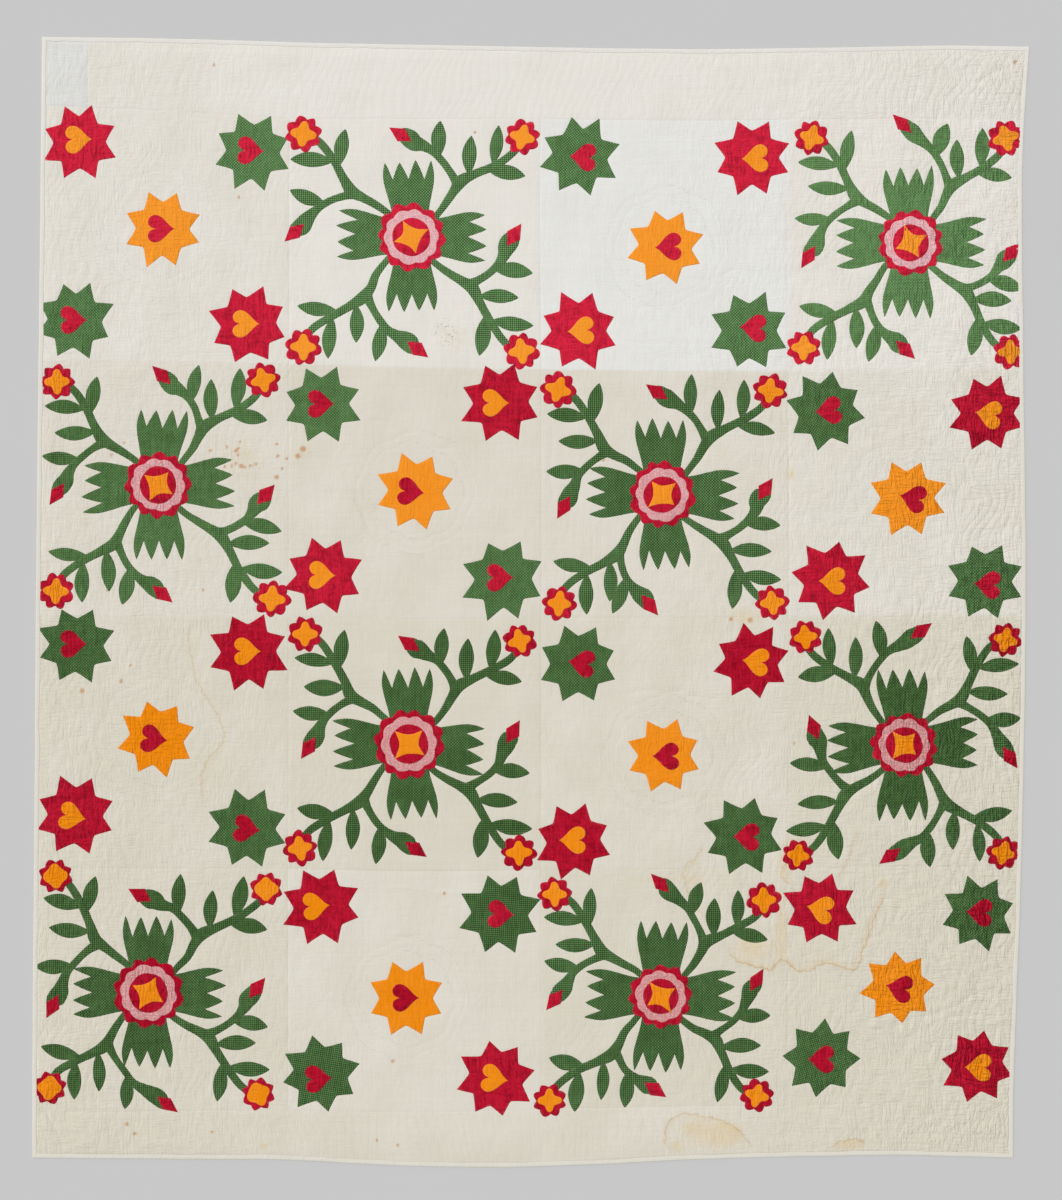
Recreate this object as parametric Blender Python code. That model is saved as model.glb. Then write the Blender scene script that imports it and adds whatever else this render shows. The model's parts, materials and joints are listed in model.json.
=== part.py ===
"""An applique quilt spread flat: one quilted sheet, and the four strips of cloth that bind its edges.

Metres, +Z up. The origin is on the surface that the quilt lies on, under the middle of its box. +Y is
towards the head edge. The sheet is a grid between four slightly wavy edges. It lies flat on its underside,
swells a little inside each block and sinks along the block seams. Each binding strip is folded over its
edge, with a 0.3 mm gap to the sheet, and meets the next strip in a mitre at the corner.
"""

from collections import namedtuple

import bmesh
import bpy
import numpy as np

MM = 0.001

# The edges of the quilt, corner to corner, as it lies.
EdgePoint = namedtuple("EdgePoint", "x_m y_m")
HEAD_EDGE = [  # left to right
    EdgePoint(-1.003, 1.158),
    EdgePoint(-0.720, 1.154),
    EdgePoint(-0.450, 1.146),
    EdgePoint(-0.190, 1.141),
    EdgePoint(0.080, 1.136),
    EdgePoint(0.350, 1.133),
    EdgePoint(0.610, 1.136),
    EdgePoint(0.880, 1.140),
    EdgePoint(1.021, 1.138),
]
FOOT_EDGE = [  # left to right
    EdgePoint(-1.023, -1.140),
    EdgePoint(-0.750, -1.142),
    EdgePoint(-0.500, -1.144),
    EdgePoint(-0.260, -1.156),
    EdgePoint(-0.010, -1.158),
    EdgePoint(0.110, -1.154),
    EdgePoint(0.360, -1.142),
    EdgePoint(0.600, -1.136),
    EdgePoint(0.730, -1.134),
    EdgePoint(0.988, -1.140),
]
LEFT_EDGE = [  # foot to head
    EdgePoint(-1.023, -1.140),
    EdgePoint(-1.023, -1.000),
    EdgePoint(-1.019, -0.470),
    EdgePoint(-1.015, 0.070),
    EdgePoint(-1.009, 0.600),
    EdgePoint(-1.003, 1.158),
]
RIGHT_EDGE = [  # foot to head: the head corner is pulled out a little
    EdgePoint(0.988, -1.140),
    EdgePoint(0.988, -1.020),
    EdgePoint(0.992, -0.890),
    EdgePoint(1.002, -0.620),
    EdgePoint(1.009, -0.350),
    EdgePoint(1.014, 0.040),
    EdgePoint(1.009, 0.500),
    EdgePoint(1.010, 0.980),
    EdgePoint(1.021, 1.138),
]

# The seams between blocks and borders, as metres from the middle.
COLUMN_SEAMS = (-0.496, 0.021, 0.527)
ROW_SEAMS = (-1.037, -0.547, -0.031, 0.480, 0.996)
CELLS_IN_BLOCK = 7  # grid cells along one side of a block
CELLS_IN_BORDER = 2  # grid cells across the head or foot border

# The quilted sheet: cloth, batting and cloth.
SHEET_LOW = 3.9 * MM  # height of the top along a seam
SWELL = 1.1 * MM  # how far the middle of a block stands above that
SWELL_SHARPNESS = 0.45  # below 1, the swell is broad and the seam is narrow
SLOW_WAVE = 0.35 * MM  # slow unevenness over the whole sheet
TUCK_THICKNESS = 2.0 * MM  # the sheet pressed flat inside the binding

# The binding: doubled cloth folded over the edge.
CLOTH = 0.8 * MM
BINDING_WIDTH = 9.0 * MM
BINDING_ROUND = 0.5 * MM
GAP = 0.3 * MM

TUCK_START = CLOTH + GAP  # the sheet's own edge, in from the outline
TUCK_END = BINDING_WIDTH + 2 * GAP
FULL_SHEET = 17.0 * MM  # where the sheet has its whole thickness
TUCK_LOW = CLOTH + GAP
TUCK_HIGH = TUCK_LOW + TUCK_THICKNESS
BINDING_HIGH = TUCK_HIGH + GAP + CLOTH

MUSLIN = (0.71, 0.68, 0.58)
BINDING_MUSLIN = (0.75, 0.74, 0.66)


def smooth_through(values, knots, at):
    """A Catmull-Rom curve through values given at rising knots, read at the points in at."""
    values, knots, at = (np.asarray(v, float) for v in (values, knots, at))
    slopes = np.gradient(values, knots)
    i = np.clip(np.searchsorted(knots, at) - 1, 0, len(knots) - 2)
    width = knots[i + 1] - knots[i]
    f = (at - knots[i]) / width
    start = (2 * f**3 - 3 * f**2 + 1) * values[i] + (f**3 - 2 * f**2 + f) * width * slopes[i]
    end = (3 * f**2 - 2 * f**3) * values[i + 1] + (f**3 - f**2) * width * slopes[i + 1]
    return start + end


def edge_curve(edge, run_axis, share):
    """Points on an edge at the given shares, 0 to 1, of its run along run_axis."""
    points = np.array(edge)
    run = points[:, run_axis]
    at = run[0] + (run[-1] - run[0]) * np.asarray(share, float)
    curve = [smooth_through(points[:, axis], run, at) for axis in (0, 1)]
    curve[run_axis] = at
    return np.stack(curve, axis=-1)


def between_edges(s, t):
    """Coons patch: the point at share s from left to right and share t from foot to head."""
    s, t = np.broadcast_arrays(np.asarray(s, float), np.asarray(t, float))
    foot, head = edge_curve(FOOT_EDGE, 0, s), edge_curve(HEAD_EDGE, 0, s)
    left, right = edge_curve(LEFT_EDGE, 1, t), edge_curve(RIGHT_EDGE, 1, t)
    s, t = s[..., None], t[..., None]
    corners = (
        (1 - s) * (1 - t) * np.array(FOOT_EDGE[0])
        + s * (1 - t) * np.array(FOOT_EDGE[-1])
        + (1 - s) * t * np.array(HEAD_EDGE[0])
        + s * t * np.array(HEAD_EDGE[-1])
    )
    return (1 - t) * foot + t * head + (1 - s) * left + s * right - corners


def middle_of_outline():
    """The middle of the box around the four edges, which becomes the origin."""
    share = np.linspace(0, 1, 400)
    outline = np.concatenate(
        [
            edge_curve(HEAD_EDGE, 0, share),
            edge_curve(FOOT_EDGE, 0, share),
            edge_curve(LEFT_EDGE, 1, share),
            edge_curve(RIGHT_EDGE, 1, share),
        ]
    )
    return (outline.min(axis=0) + outline.max(axis=0)) / 2


MIDDLE = middle_of_outline()
WIDTH = HEAD_EDGE[-1].x_m - HEAD_EDGE[0].x_m
LENGTH = HEAD_EDGE[0].y_m - LEFT_EDGE[0].y_m
COLUMN_SHARES = [(x - HEAD_EDGE[0].x_m) / WIDTH for x in COLUMN_SEAMS]
ROW_SHARES = [(y - LEFT_EDGE[0].y_m) / LENGTH for y in ROW_SEAMS]


def place(s, t):
    """The point at shares s and t, moved so that the origin is under the middle."""
    return between_edges(s, t) - MIDDLE


def grid_lines(stops, cells, size):
    """Shares of the grid lines: close lines at each end for the tuck, and even cells between the stops."""
    tuck = np.array([TUCK_START, TUCK_END, FULL_SHEET]) / size
    stops = [tuck[-1], *stops, 1 - tuck[-1]]
    inner = [np.linspace(a, b, n + 1)[:-1] for a, b, n in zip(stops, stops[1:], cells)]
    return np.concatenate([tuck[:-1], *inner, 1 - tuck[::-1]])


COLUMN_LINES = grid_lines(COLUMN_SHARES, [CELLS_IN_BLOCK] * 4, WIDTH)
ROW_LINES = grid_lines(
    ROW_SHARES, [CELLS_IN_BORDER, *[CELLS_IN_BLOCK] * 4, CELLS_IN_BORDER], LENGTH
)


def swell_between(share, stops):
    """0 on each seam and 1 half way between two seams."""
    stops = np.array([0, *stops, 1])
    i = np.clip(np.searchsorted(stops, share, side="right") - 1, 0, len(stops) - 2)
    return np.sin(np.pi * (share - stops[i]) / (stops[i + 1] - stops[i]))


def sheet_heights(s, t):
    """The underside and the top of the sheet at shares s and t."""
    inset = np.minimum(
        np.minimum(s, 1 - s) * WIDTH, np.minimum(t, 1 - t) * LENGTH
    )
    full = np.clip((inset - TUCK_END) / (FULL_SHEET - TUCK_END), 0, 1)
    across = np.clip(swell_between(s, COLUMN_SHARES), 0, 1)
    along = np.clip(swell_between(t, ROW_SHARES), 0, 1)
    top = (
        SHEET_LOW
        + SWELL * (across * along) ** SWELL_SHARPNESS
        + SLOW_WAVE * np.sin(9.0 * s + 2.0) * np.sin(11.0 * t + 0.7)
    )
    return TUCK_LOW * (1 - full), TUCK_HIGH * (1 - full) + top * full


def principled(name, colour, roughness):
    """A plain cloth material."""
    material = bpy.data.materials.new(name)
    material.use_nodes = True
    shader = material.node_tree.nodes["Principled BSDF"]
    shader.inputs["Base Color"].default_value = (*colour, 1.0)
    shader.inputs["Roughness"].default_value = roughness
    shader.inputs["Metallic"].default_value = 0.0
    return material


def add_object(name, bm, material):
    """Puts a finished bmesh into the scene as one object, with its faces out."""
    bmesh.ops.recalc_face_normals(bm, faces=bm.faces)
    mesh = bpy.data.meshes.new(name)
    bm.to_mesh(mesh)
    bm.free()
    mesh.materials.append(material)
    mesh.shade_smooth()
    mesh.set_sharp_from_angle(angle=np.radians(35))
    piece = bpy.data.objects.new(name, mesh)
    bpy.context.scene.collection.objects.link(piece)
    return piece


def make_quilt_body():
    """The quilted sheet: a grid bent to the outline, extruded down to its flat underside."""
    bm = bmesh.new()
    bmesh.ops.create_grid(
        bm, x_segments=len(COLUMN_LINES) - 1, y_segments=len(ROW_LINES) - 1, size=1.0
    )
    flat = np.array([vertex.co for vertex in bm.verts])
    column = np.rint((flat[:, 0] + 1) / 2 * (len(COLUMN_LINES) - 1)).astype(int)
    row = np.rint((flat[:, 1] + 1) / 2 * (len(ROW_LINES) - 1)).astype(int)
    s, t = COLUMN_LINES[column], ROW_LINES[row]
    where = place(s, t)
    low, high = sheet_heights(s, t)
    bm.verts.ensure_lookup_table()
    for vertex, (x, y), z in zip(bm.verts, where, high):
        vertex.co = (x, y, z)
    top_count = len(bm.verts)
    bmesh.ops.extrude_face_region(bm, geom=list(bm.faces), use_keep_orig=True)
    bm.verts.ensure_lookup_table()
    for i in range(top_count):
        bm.verts[i].co.z = low[i]
    return add_object("quilt_body", bm, principled("muslin", MUSLIN, 0.9))


def binding_profile():
    """The folded strip in section: inset from the outline and height, round the outside then back."""
    high, wide, r = BINDING_HIGH, BINDING_WIDTH, BINDING_ROUND
    return np.array(
        [
            (wide, 0),
            (r, 0),
            (0, r),
            (0, high - r),
            (r, high),
            (wide, high),
            (wide, high - CLOTH),
            (CLOTH, high - CLOTH),
            (CLOTH, CLOTH),
            (wide, CLOTH),
        ]
    )


def make_binding(name, lines, place_at, run_size):
    """A strip along one edge: the profile carried over the sheet's grid lines, with mitred ends.

    place_at takes the share along the edge and the inset in metres, and gives x and y.
    """
    inset, height = binding_profile().T
    mitre = (inset + GAP / np.sqrt(2)) / run_size  # each strip stops half a gap short of the diagonal
    inner = lines[(lines > FULL_SHEET / run_size - 1e-6) & (lines < 1 - FULL_SHEET / run_size + 1e-6)]
    stations = [mitre, *[np.full_like(inset, share) for share in inner], 1 - mitre]
    bm = bmesh.new()
    rings = []
    for along in stations:
        xy = place_at(along, inset)
        rings.append([bm.verts.new((x, y, z)) for (x, y), z in zip(xy, height)])
    for ring, following in zip(rings, rings[1:]):
        for i in range(len(ring)):
            j = (i + 1) % len(ring)
            bm.faces.new((ring[i], ring[j], following[j], following[i]))
    bm.faces.new(rings[0])
    bm.faces.new(rings[-1])
    return add_object(name, bm, principled(name + "_muslin", BINDING_MUSLIN, 0.88))


def main():
    for old in list(bpy.data.objects):
        bpy.data.objects.remove(old, do_unlink=True)
    make_quilt_body()
    make_binding("binding_top", COLUMN_LINES, lambda a, d: place(a, 1 - d / LENGTH), WIDTH)
    make_binding("binding_bottom", COLUMN_LINES, lambda a, d: place(a, d / LENGTH), WIDTH)
    make_binding("binding_left", ROW_LINES, lambda a, d: place(d / WIDTH, a), LENGTH)
    make_binding("binding_right", ROW_LINES, lambda a, d: place(1 - d / WIDTH, a), LENGTH)


main()
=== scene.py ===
"""Applique quilt: the cloth, patches, binding, quilting and stains of a quilt that lies flat.

Laid out as a Blender add-on and run as a script. Lengths are in metres unless a name says mm. The quilt
lies on z = 0 with +Y towards its head edge. A place on it is either x and y, or the shares s, from the left
edge to the right one, and t, from the foot edge to the head one.
"""

import functools
import json
from collections import namedtuple

import bpy
import numpy as np
from bpy.props import FloatProperty, FloatVectorProperty, IntProperty, PointerProperty
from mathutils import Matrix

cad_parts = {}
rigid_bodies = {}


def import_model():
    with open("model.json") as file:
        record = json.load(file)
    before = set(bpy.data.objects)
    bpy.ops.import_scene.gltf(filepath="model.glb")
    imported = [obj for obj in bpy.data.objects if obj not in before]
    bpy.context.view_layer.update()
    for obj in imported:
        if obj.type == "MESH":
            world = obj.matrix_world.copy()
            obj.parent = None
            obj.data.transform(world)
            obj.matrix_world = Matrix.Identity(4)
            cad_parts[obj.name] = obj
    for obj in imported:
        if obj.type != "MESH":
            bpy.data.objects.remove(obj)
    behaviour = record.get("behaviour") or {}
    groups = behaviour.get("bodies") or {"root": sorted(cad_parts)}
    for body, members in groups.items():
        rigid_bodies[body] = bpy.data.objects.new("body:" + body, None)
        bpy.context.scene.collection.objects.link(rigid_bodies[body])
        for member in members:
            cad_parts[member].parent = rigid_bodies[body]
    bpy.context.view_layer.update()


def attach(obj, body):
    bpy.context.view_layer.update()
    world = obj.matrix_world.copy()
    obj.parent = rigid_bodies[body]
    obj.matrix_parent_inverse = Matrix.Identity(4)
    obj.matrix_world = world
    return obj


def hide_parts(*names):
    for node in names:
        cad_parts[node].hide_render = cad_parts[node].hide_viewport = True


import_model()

bl_info = {
    "name": "Applique Quilt",
    "version": (1, 0, 0),
    "blender": (4, 5, 0),
    "location": "View3D > Sidebar > Quilt",
    "description": "Pieced blocks, applique stars and roses, binding and quilting of a bed quilt",
    "category": "Object",
}

MM = 0.001
BODY = "root"

# ---------------------------------------------------------------- the outline and the seams
EdgePoint = namedtuple("EdgePoint", "x_m y_m")
HEAD_EDGE = [EdgePoint(*row) for row in (  # left to right
    (-1.003, 1.158), (-0.720, 1.154), (-0.450, 1.146), (-0.190, 1.141), (0.080, 1.136), (0.350, 1.133),
    (0.610, 1.136), (0.880, 1.140), (1.021, 1.138),
)]
FOOT_EDGE = [EdgePoint(*row) for row in (  # left to right
    (-1.023, -1.140), (-0.750, -1.142), (-0.500, -1.144), (-0.260, -1.156), (-0.010, -1.158),
    (0.110, -1.154), (0.360, -1.142), (0.600, -1.136), (0.730, -1.134), (0.988, -1.140),
)]
LEFT_EDGE = [EdgePoint(*row) for row in (  # foot to head
    (-1.023, -1.140), (-1.023, -1.000), (-1.019, -0.470), (-1.015, 0.070), (-1.009, 0.600),
    (-1.003, 1.158),
)]
RIGHT_EDGE = [EdgePoint(*row) for row in (  # foot to head
    (0.988, -1.140), (0.988, -1.020), (0.992, -0.890), (1.002, -0.620), (1.009, -0.350), (1.014, 0.040),
    (1.009, 0.500), (1.010, 0.980), (1.021, 1.138),
)]
WIDTH = HEAD_EDGE[-1].x_m - HEAD_EDGE[0].x_m
LENGTH = HEAD_EDGE[0].y_m - LEFT_EDGE[0].y_m

# Where the four column seams' and five row seams' corners lie. Head to foot, and left to right.
ColumnSeam = namedtuple("ColumnSeam", "head row2 row3 row4 foot")
COLUMN_SEAMS = [  # x
    ColumnSeam(-0.494, -0.496, -0.497, -0.498, -0.497),
    ColumnSeam(0.020, 0.021, 0.021, 0.020, 0.022),
    ColumnSeam(0.527, 0.527, 0.528, 0.526, 0.527),
]
RowSeam = namedtuple("RowSeam", "left column2 column3 column4 right")
ROW_SEAMS = [  # y
    RowSeam(1.019, 0.992, 0.990, 0.989, 0.988),
    RowSeam(0.494, 0.487, 0.477, 0.474, 0.474),
    RowSeam(-0.029, -0.031, -0.032, -0.031, -0.030),
    RowSeam(-0.546, -0.547, -0.548, -0.547, -0.545),
    RowSeam(-1.046, -1.042, -1.038, -1.033, -1.029),
]
CORNER_PIECE_SEAM = -0.908  # x of the seam beside the odd piece at the head border's left end

# ---------------------------------------------------------------- the sheet in section, as in the frame
SHEET_LOW = 3.9 * MM
SWELL_SHARPNESS = 0.45
SLOW_WAVE = 0.35 * MM
TUCK_THICKNESS = 2.0 * MM
CLOTH = 0.8 * MM
BINDING_WIDTH = 9.0 * MM
GAP = 0.3 * MM
TUCK_START = CLOTH + GAP
TUCK_END = BINDING_WIDTH + 2 * GAP
FULL_SHEET = 28.0 * MM
TUCK_LOW = CLOTH + GAP
TUCK_HIGH = TUCK_LOW + TUCK_THICKNESS

# ---------------------------------------------------------------- the blocks
# How yellowed each block's ground cloth is, head row first: 0 for pale and 1 for warm.
BLOCK_TONE = (
    (0.31, 0.08, 0.0, 0.14),
    (0.67, 0.74, 0.69, 0.49),
    (0.89, 0.92, 0.79, 1.00),
    (0.93, 0.69, 1.00, 1.33),
)
COOL_BLOCK = "r1c3"  # its ground is a whiter cotton
HEAD_TONE, FOOT_TONE = 0.0, 0.83
ROW_SHADE = (-1.4, 0.1, 1.0, 0.9)  # how deep the dyes are in each row of blocks
PRINT_STRENGTH = {  # how dark the green's print is, by block
    "r1c1": 1.1, "r1c2": 1.3, "r1c4": 0.8, "r2c1": 1.0, "r2c2": 1.1, "r2c3": 1.4, "r3c2": 1.3,
    "r4c1": 1.3, "r4c2": 1.4, "r4c3": 1.4,
}
PLAIN_PRINT = 1.2  # in the other blocks
SQUARE_PRINT = "r4c2"  # here the green's check runs with the grain

# Stars: block, place in it, cloth, centre, size, turn, direction of the heart's point, the heart's offset.
Star = namedtuple("Star", "block place cloth x_mm y_mm percent turn_deg heart_deg heart_x_mm heart_y_mm")
STARS = [
    Star("r1c1", "head_left", "red", -925, 942, 99, 1, 2, 0, 6),
    Star("r1c1", "head_right", "green", -570, 923, 101, -3, -3, -2, 2),
    Star("r1c1", "foot_left", "green", -935, 577, 100, -3, 0, 0, 1),
    Star("r1c1", "foot_right", "red", -579, 568, 102, 4, 0, -3, 2),
    Star("r1c1", "middle", "orange", -755, 765, 99, -1, 0, -1, 0),
    Star("r1c3", "head_left", "green", 100, 914, 102, -7, 176, 4, -2),
    Star("r1c3", "head_right", "red", 453, 911, 99, 0, 182, 4, -2),
    Star("r1c3", "foot_left", "red", 98, 556, 102, 0, 184, 2, 0),
    Star("r1c3", "foot_right", "green", 447, 556, 99, 0, 175, 6, 6),
    Star("r1c3", "middle", "orange", 275, 728, 98, -5, 183, 4, 0),
    Star("r2c2", "head_left", "green", -428, 405, 100, 2, 0, 0, 1),
    Star("r2c2", "head_right", "red", -62, 409, 104, 2, 0, -8, -1),
    Star("r2c2", "foot_left", "red", -424, 54, 103, -3, -2, -2, 1),
    Star("r2c2", "foot_right", "green", -57, 47, 104, 1, 0, -4, 3),
    Star("r2c2", "middle", "orange", -237, 227, 102, -3, -6, -7, -1),
    Star("r2c4", "head_left", "green", 604, 392, 102, 12, 186, 3, 0),
    Star("r2c4", "head_right", "red", 935, 387, 100, 0, 171, 0, -2),
    Star("r2c4", "foot_left", "red", 615, 46, 103, 12, 180, 0, -3),
    Star("r2c4", "foot_right", "green", 930, 43, 101, -1, 175, 3, -7),
    Star("r2c4", "middle", "orange", 771, 213, 101, 1, 167, 9, 0),
    Star("r3c1", "head_left", "green", -932, -88, 101, -2, 0, -3, 2),
    Star("r3c1", "head_right", "red", -579, -102, 103, 1, 0, 0, 1),
    Star("r3c1", "foot_left", "red", -934, -437, 106, -2, -11, -3, -3),
    Star("r3c1", "foot_right", "green", -581, -463, 105, -2, -8, 1, -2),
    Star("r3c1", "middle", "orange", -767, -279, 101, -8, -8, -3, -2),
    Star("r3c3", "head_left", "green", 97, -127, 108, 0, 172, 4, 2),
    Star("r3c3", "head_right", "red", 452, -122, 98, -7, 173, 6, 0),
    Star("r3c3", "foot_left", "red", 87, -490, 102, 4, 180, -4, 2),
    Star("r3c3", "foot_right", "green", 436, -479, 102, 4, 178, 3, -2),
    Star("r3c3", "middle", "orange", 273, -314, 98, 1, 180, 1, -2),
    Star("r4c2", "head_left", "red", -430, -624, 102, 4, 4, -8, 1),
    Star("r4c2", "head_right", "green", -64, -639, 105, -3, -3, 5, -1),
    Star("r4c2", "foot_left", "green", -431, -967, 101, -9, 4, -2, -10),
    Star("r4c2", "foot_right", "red", -72, -977, 103, -12, -9, 0, 0),
    Star("r4c2", "middle", "orange", -256, -812, 99, 0, 0, 1, 1),
    Star("r4c4", "head_left", "red", 593, -628, 95, 3, 168, -3, -1),
    Star("r4c4", "head_right", "green", 917, -638, 96, -7, 176, -1, 2),
    Star("r4c4", "foot_left", "green", 595, -935, 103, -26, 180, -3, -2),
    Star("r4c4", "foot_right", "red", 914, -951, 98, 9, 178, 0, -3),
    Star("r4c4", "middle", "orange", 753, -791, 98, -17, 167, -1, 0),
]

# Rose blocks: centre, handedness of the side branches, radii of the red disc and the blossoms, turn of the
# orange square, and for each arm how far out its blossom sits and how far it swings off the diagonal,
# anticlockwise.
Rose = namedtuple(
    "Rose",
    "block x_mm y_mm hand disc_mm blossom_mm square_deg "
    "ne_reach ne_swing nw_reach nw_swing sw_reach sw_swing se_reach se_swing",
)
ROSES = [
    Rose("r1c2", -245, 748, 1, 72, 39, -22, 306, -3.0, 306, 1.4, 316, 0.5, 325, -1.0),
    Rose("r1c4", 778, 736, 1, 69, 38, -21, 290, 2.7, 296, -1.7, 307, -0.5, 303, -2.5),
    Rose("r2c1", -764, 240, 1, 70, 38, 12, 304, 0.0, 296, -0.6, 302, 1.1, 330, 0.0),
    Rose("r2c3", 269, 220, 1, 70, 36, 0, 307, -1.1, 303, -0.3, 307, 1.6, 316, 0.5),
    Rose("r3c2", -250, -291, 1, 74, 37, 0, 310, -2.1, 310, -1.6, 309, -1.3, 317, 0.3),
    Rose("r3c4", 765, -293, -1, 69, 36, 3, 299, 1.1, 300, -2.5, 314, 1.1, 300, -2.5),
    Rose("r4c1", -784, -801, 1, 74, 35, 17, 322, -3.6, 306, -6.5, 281, -1.2, 306, 2.4),
    Rose("r4c3", 266, -808, 1, 67, 36, -14, 289, -2.0, 302, 1.1, 312, -1.9, 283, -0.9),
]

# Where each arm's bud lies: mm out along the arm's diagonal, and across it on the branch's side.
BUDS = {
    "r1c2": {"ne": (124, 172), "nw": (180, 160), "sw": (155, 177), "se": (143, 165)},
    "r1c4": {"ne": (169, 169), "nw": (123, 168), "sw": (161, 150), "se": (154, 139)},
    "r2c1": {"ne": (164, 154), "nw": (132, 157), "sw": (155, 160), "se": (170, 154)},
    "r2c3": {"ne": (138, 161), "nw": (124, 161), "sw": (182, 138), "se": (143, 162)},
    "r3c2": {"ne": (140, 154), "nw": (136, 158), "sw": (139, 168), "se": (134, 175)},
    "r3c4": {"ne": (132, 171), "nw": (149, 181), "sw": (103, 164), "se": (148, 173)},
    "r4c1": {"ne": (120, 171), "nw": (101, 172), "sw": (130, 177), "se": (157, 159)},
    "r4c3": {"ne": (157, 162), "nw": (152, 155), "sw": (139, 135), "se": (113, 153)},
}

STAR_POINTS = 8
STAR_TIP = 81.0  # mm from the centre to a point
STAR_NOTCH = 55.5
HEART_LENGTH = 57.5
HEART_WIDTH = 58.0

MISSING_LEAF = ("r1c2", "nw", "inner")  # the block and arm that have one leaf fewer
BLOSSOM_CROSS_WAIST = 16.5
RING_SHARE = 0.80  # radii of the pink ring, the eye and the orange square, as shares of the red disc's
EYE_SHARE = 0.56
SQUARE_SHARE = 0.54
COXCOMB_REACH = 154.0
TOOTH_DEPTH = 37.0
BLOSSOM = 37.0  # the radius that the sizes of its parts go with
SQUARE_BLOSSOMS = "r4c1"  # its blossoms are pointed, with squarer middles
BLOSSOM_CROSS = 26.5
ARM_REACH = 304.0  # the arm's own plan has its blossom this far out

# The plan of one arm, in mm: u outwards along the diagonal, v anticlockwise across it.
PathPoint = namedtuple("PathPoint", "u v width")
STEM = [PathPoint(*row) for row in (
    (50, -4, 13.0), (75, -1, 14.0), (102, 4, 16.5), (128, 12, 20.0), (150, 17, 26.0), (180, 9, 19.0),
    (225, -5, 17.0), (268, -12, 16.0), (300, -8, 14.0),
)]
BRANCH = [PathPoint(*row) for row in (
    (140, 10, 26.0), (150, 36, 17.0), (160, 76, 15.5), (161, 100, 17.0), (156, 122, 25.0),
    (151, 138, 35.0), (149, 150, 37.5), (148, 162, 33.0), (146, 171, 24.0), (145, 177, 12.0),
)]
FORK = 140 + 10j  # where the branch leaves the stem, as u + v j
BUD_MIDDLE = 145 + 171.5j
Leaf = namedtuple("Leaf", "name base_u base_v tip_u tip_v width bow")
LEAVES = [
    Leaf("inner", 171, 15, 229, 74, 30.5, 2),
    Leaf("outer_left", 221, -1, 285, 52, 30, -2),
    Leaf("outer_right", 206, -3, 253, -67, 30.5, 2),
    Leaf("side", 159, 81, 220, 129, 30, 2),
]
BUD = Leaf("bud", 149, 144, 141, 199, 30.5, 0)

# ---------------------------------------------------------------- creases and stains
Crease = namedtuple("Crease", "x1_mm y1_mm x2_mm y2_mm height_mm")
CREASES = [Crease(*row) for row in (
    (-500, 406, -362, 408, -0.8), (748, 377, 806, 378, -0.5), (692, 361, 738, 358, -0.5),
    (783, 404, 826, 414, -0.4), (745, 111, 800, 108, 0.5), (190, -184, 322, -179, -0.6),
    (318, -192, 390, -196, -0.6), (248, -427, 356, -423, 0.5), (-278, -686, -218, -682, -0.5),
    (-1002, -1022, -960, -1124, -0.9), (-335, 376, -284, 370, -0.6), (-192, 316, -165, 317, -0.5),
    (-285, 101, -218, 97, 0.5), (390, 669, 420, 690, -0.5), (223, 609, 280, 606, -0.4),
    (318, 610, 329, 560, 0.4), (-760, -20, -560, -26, -0.4), (560, 322, 700, 316, 0.3),
    (-330, -590, -130, -597, 0.4), (40, 372, 44, 190, -0.4), (-120, 650, -112, 510, -0.4),
    (690, -880, 830, -842, -0.6), (830, -842, 962, -785, -0.6), (900, 1060, 1005, 1112, -0.6),
    (930, 1125, 1006, 1030, 0.5),
)]
TideLine = namedtuple("TideLine", "strength points_mm")
TIDE_LINES = [  # each with its stained side on the left
    TideLine(1.0, (
        (397, -686), (401, -707), (411, -724), (428, -738), (454, -745), (477, -752), (491, -755),
        (501, -744), (515, -733), (529, -742), (552, -758), (575, -754), (590, -742), (613, -740),
        (639, -750), (661, -754), (673, -742), (678, -721), (686, -698), (696, -675), (704, -649),
        (715, -620), (728, -598), (722, -569),
    )),
    TideLine(0.55, (
        (359, -486), (343, -515), (334, -532), (320, -535), (312, -555), (316, -580), (328, -611),
        (343, -633), (359, -650),
    )),
    TideLine(0.6, (
        (552, -507), (529, -522), (517, -542), (512, -562), (528, -578), (542, -570),
    )),
    TideLine(0.45, (
        (669, -458), (665, -481), (657, -502), (651, -522), (642, -542), (633, -557), (624, -577),
    )),
    TideLine(0.8, (
        (459, -1133), (445, -1105), (431, -1087), (411, -1072), (385, -1060), (356, -1054), (307, -1047),
        (285, -1062), (276, -1081), (274, -1105), (282, -1120), (286, -1135),
    )),
    TideLine(0.9, (
        (685, -1118), (681, -1105), (662, -1101), (636, -1104), (623, -1110), (614, -1120),
    )),
    TideLine(0.55, (
        (-699, -31), (-703, -74), (-697, -110), (-686, -162), (-641, -232), (-627, -271), (-637, -296),
        (-660, -320), (-673, -345), (-676, -374), (-671, -408), (-663, -432),
    )),
]
Cloud = namedtuple("Cloud", "x_mm y_mm radius_x_mm radius_y_mm strength")
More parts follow.
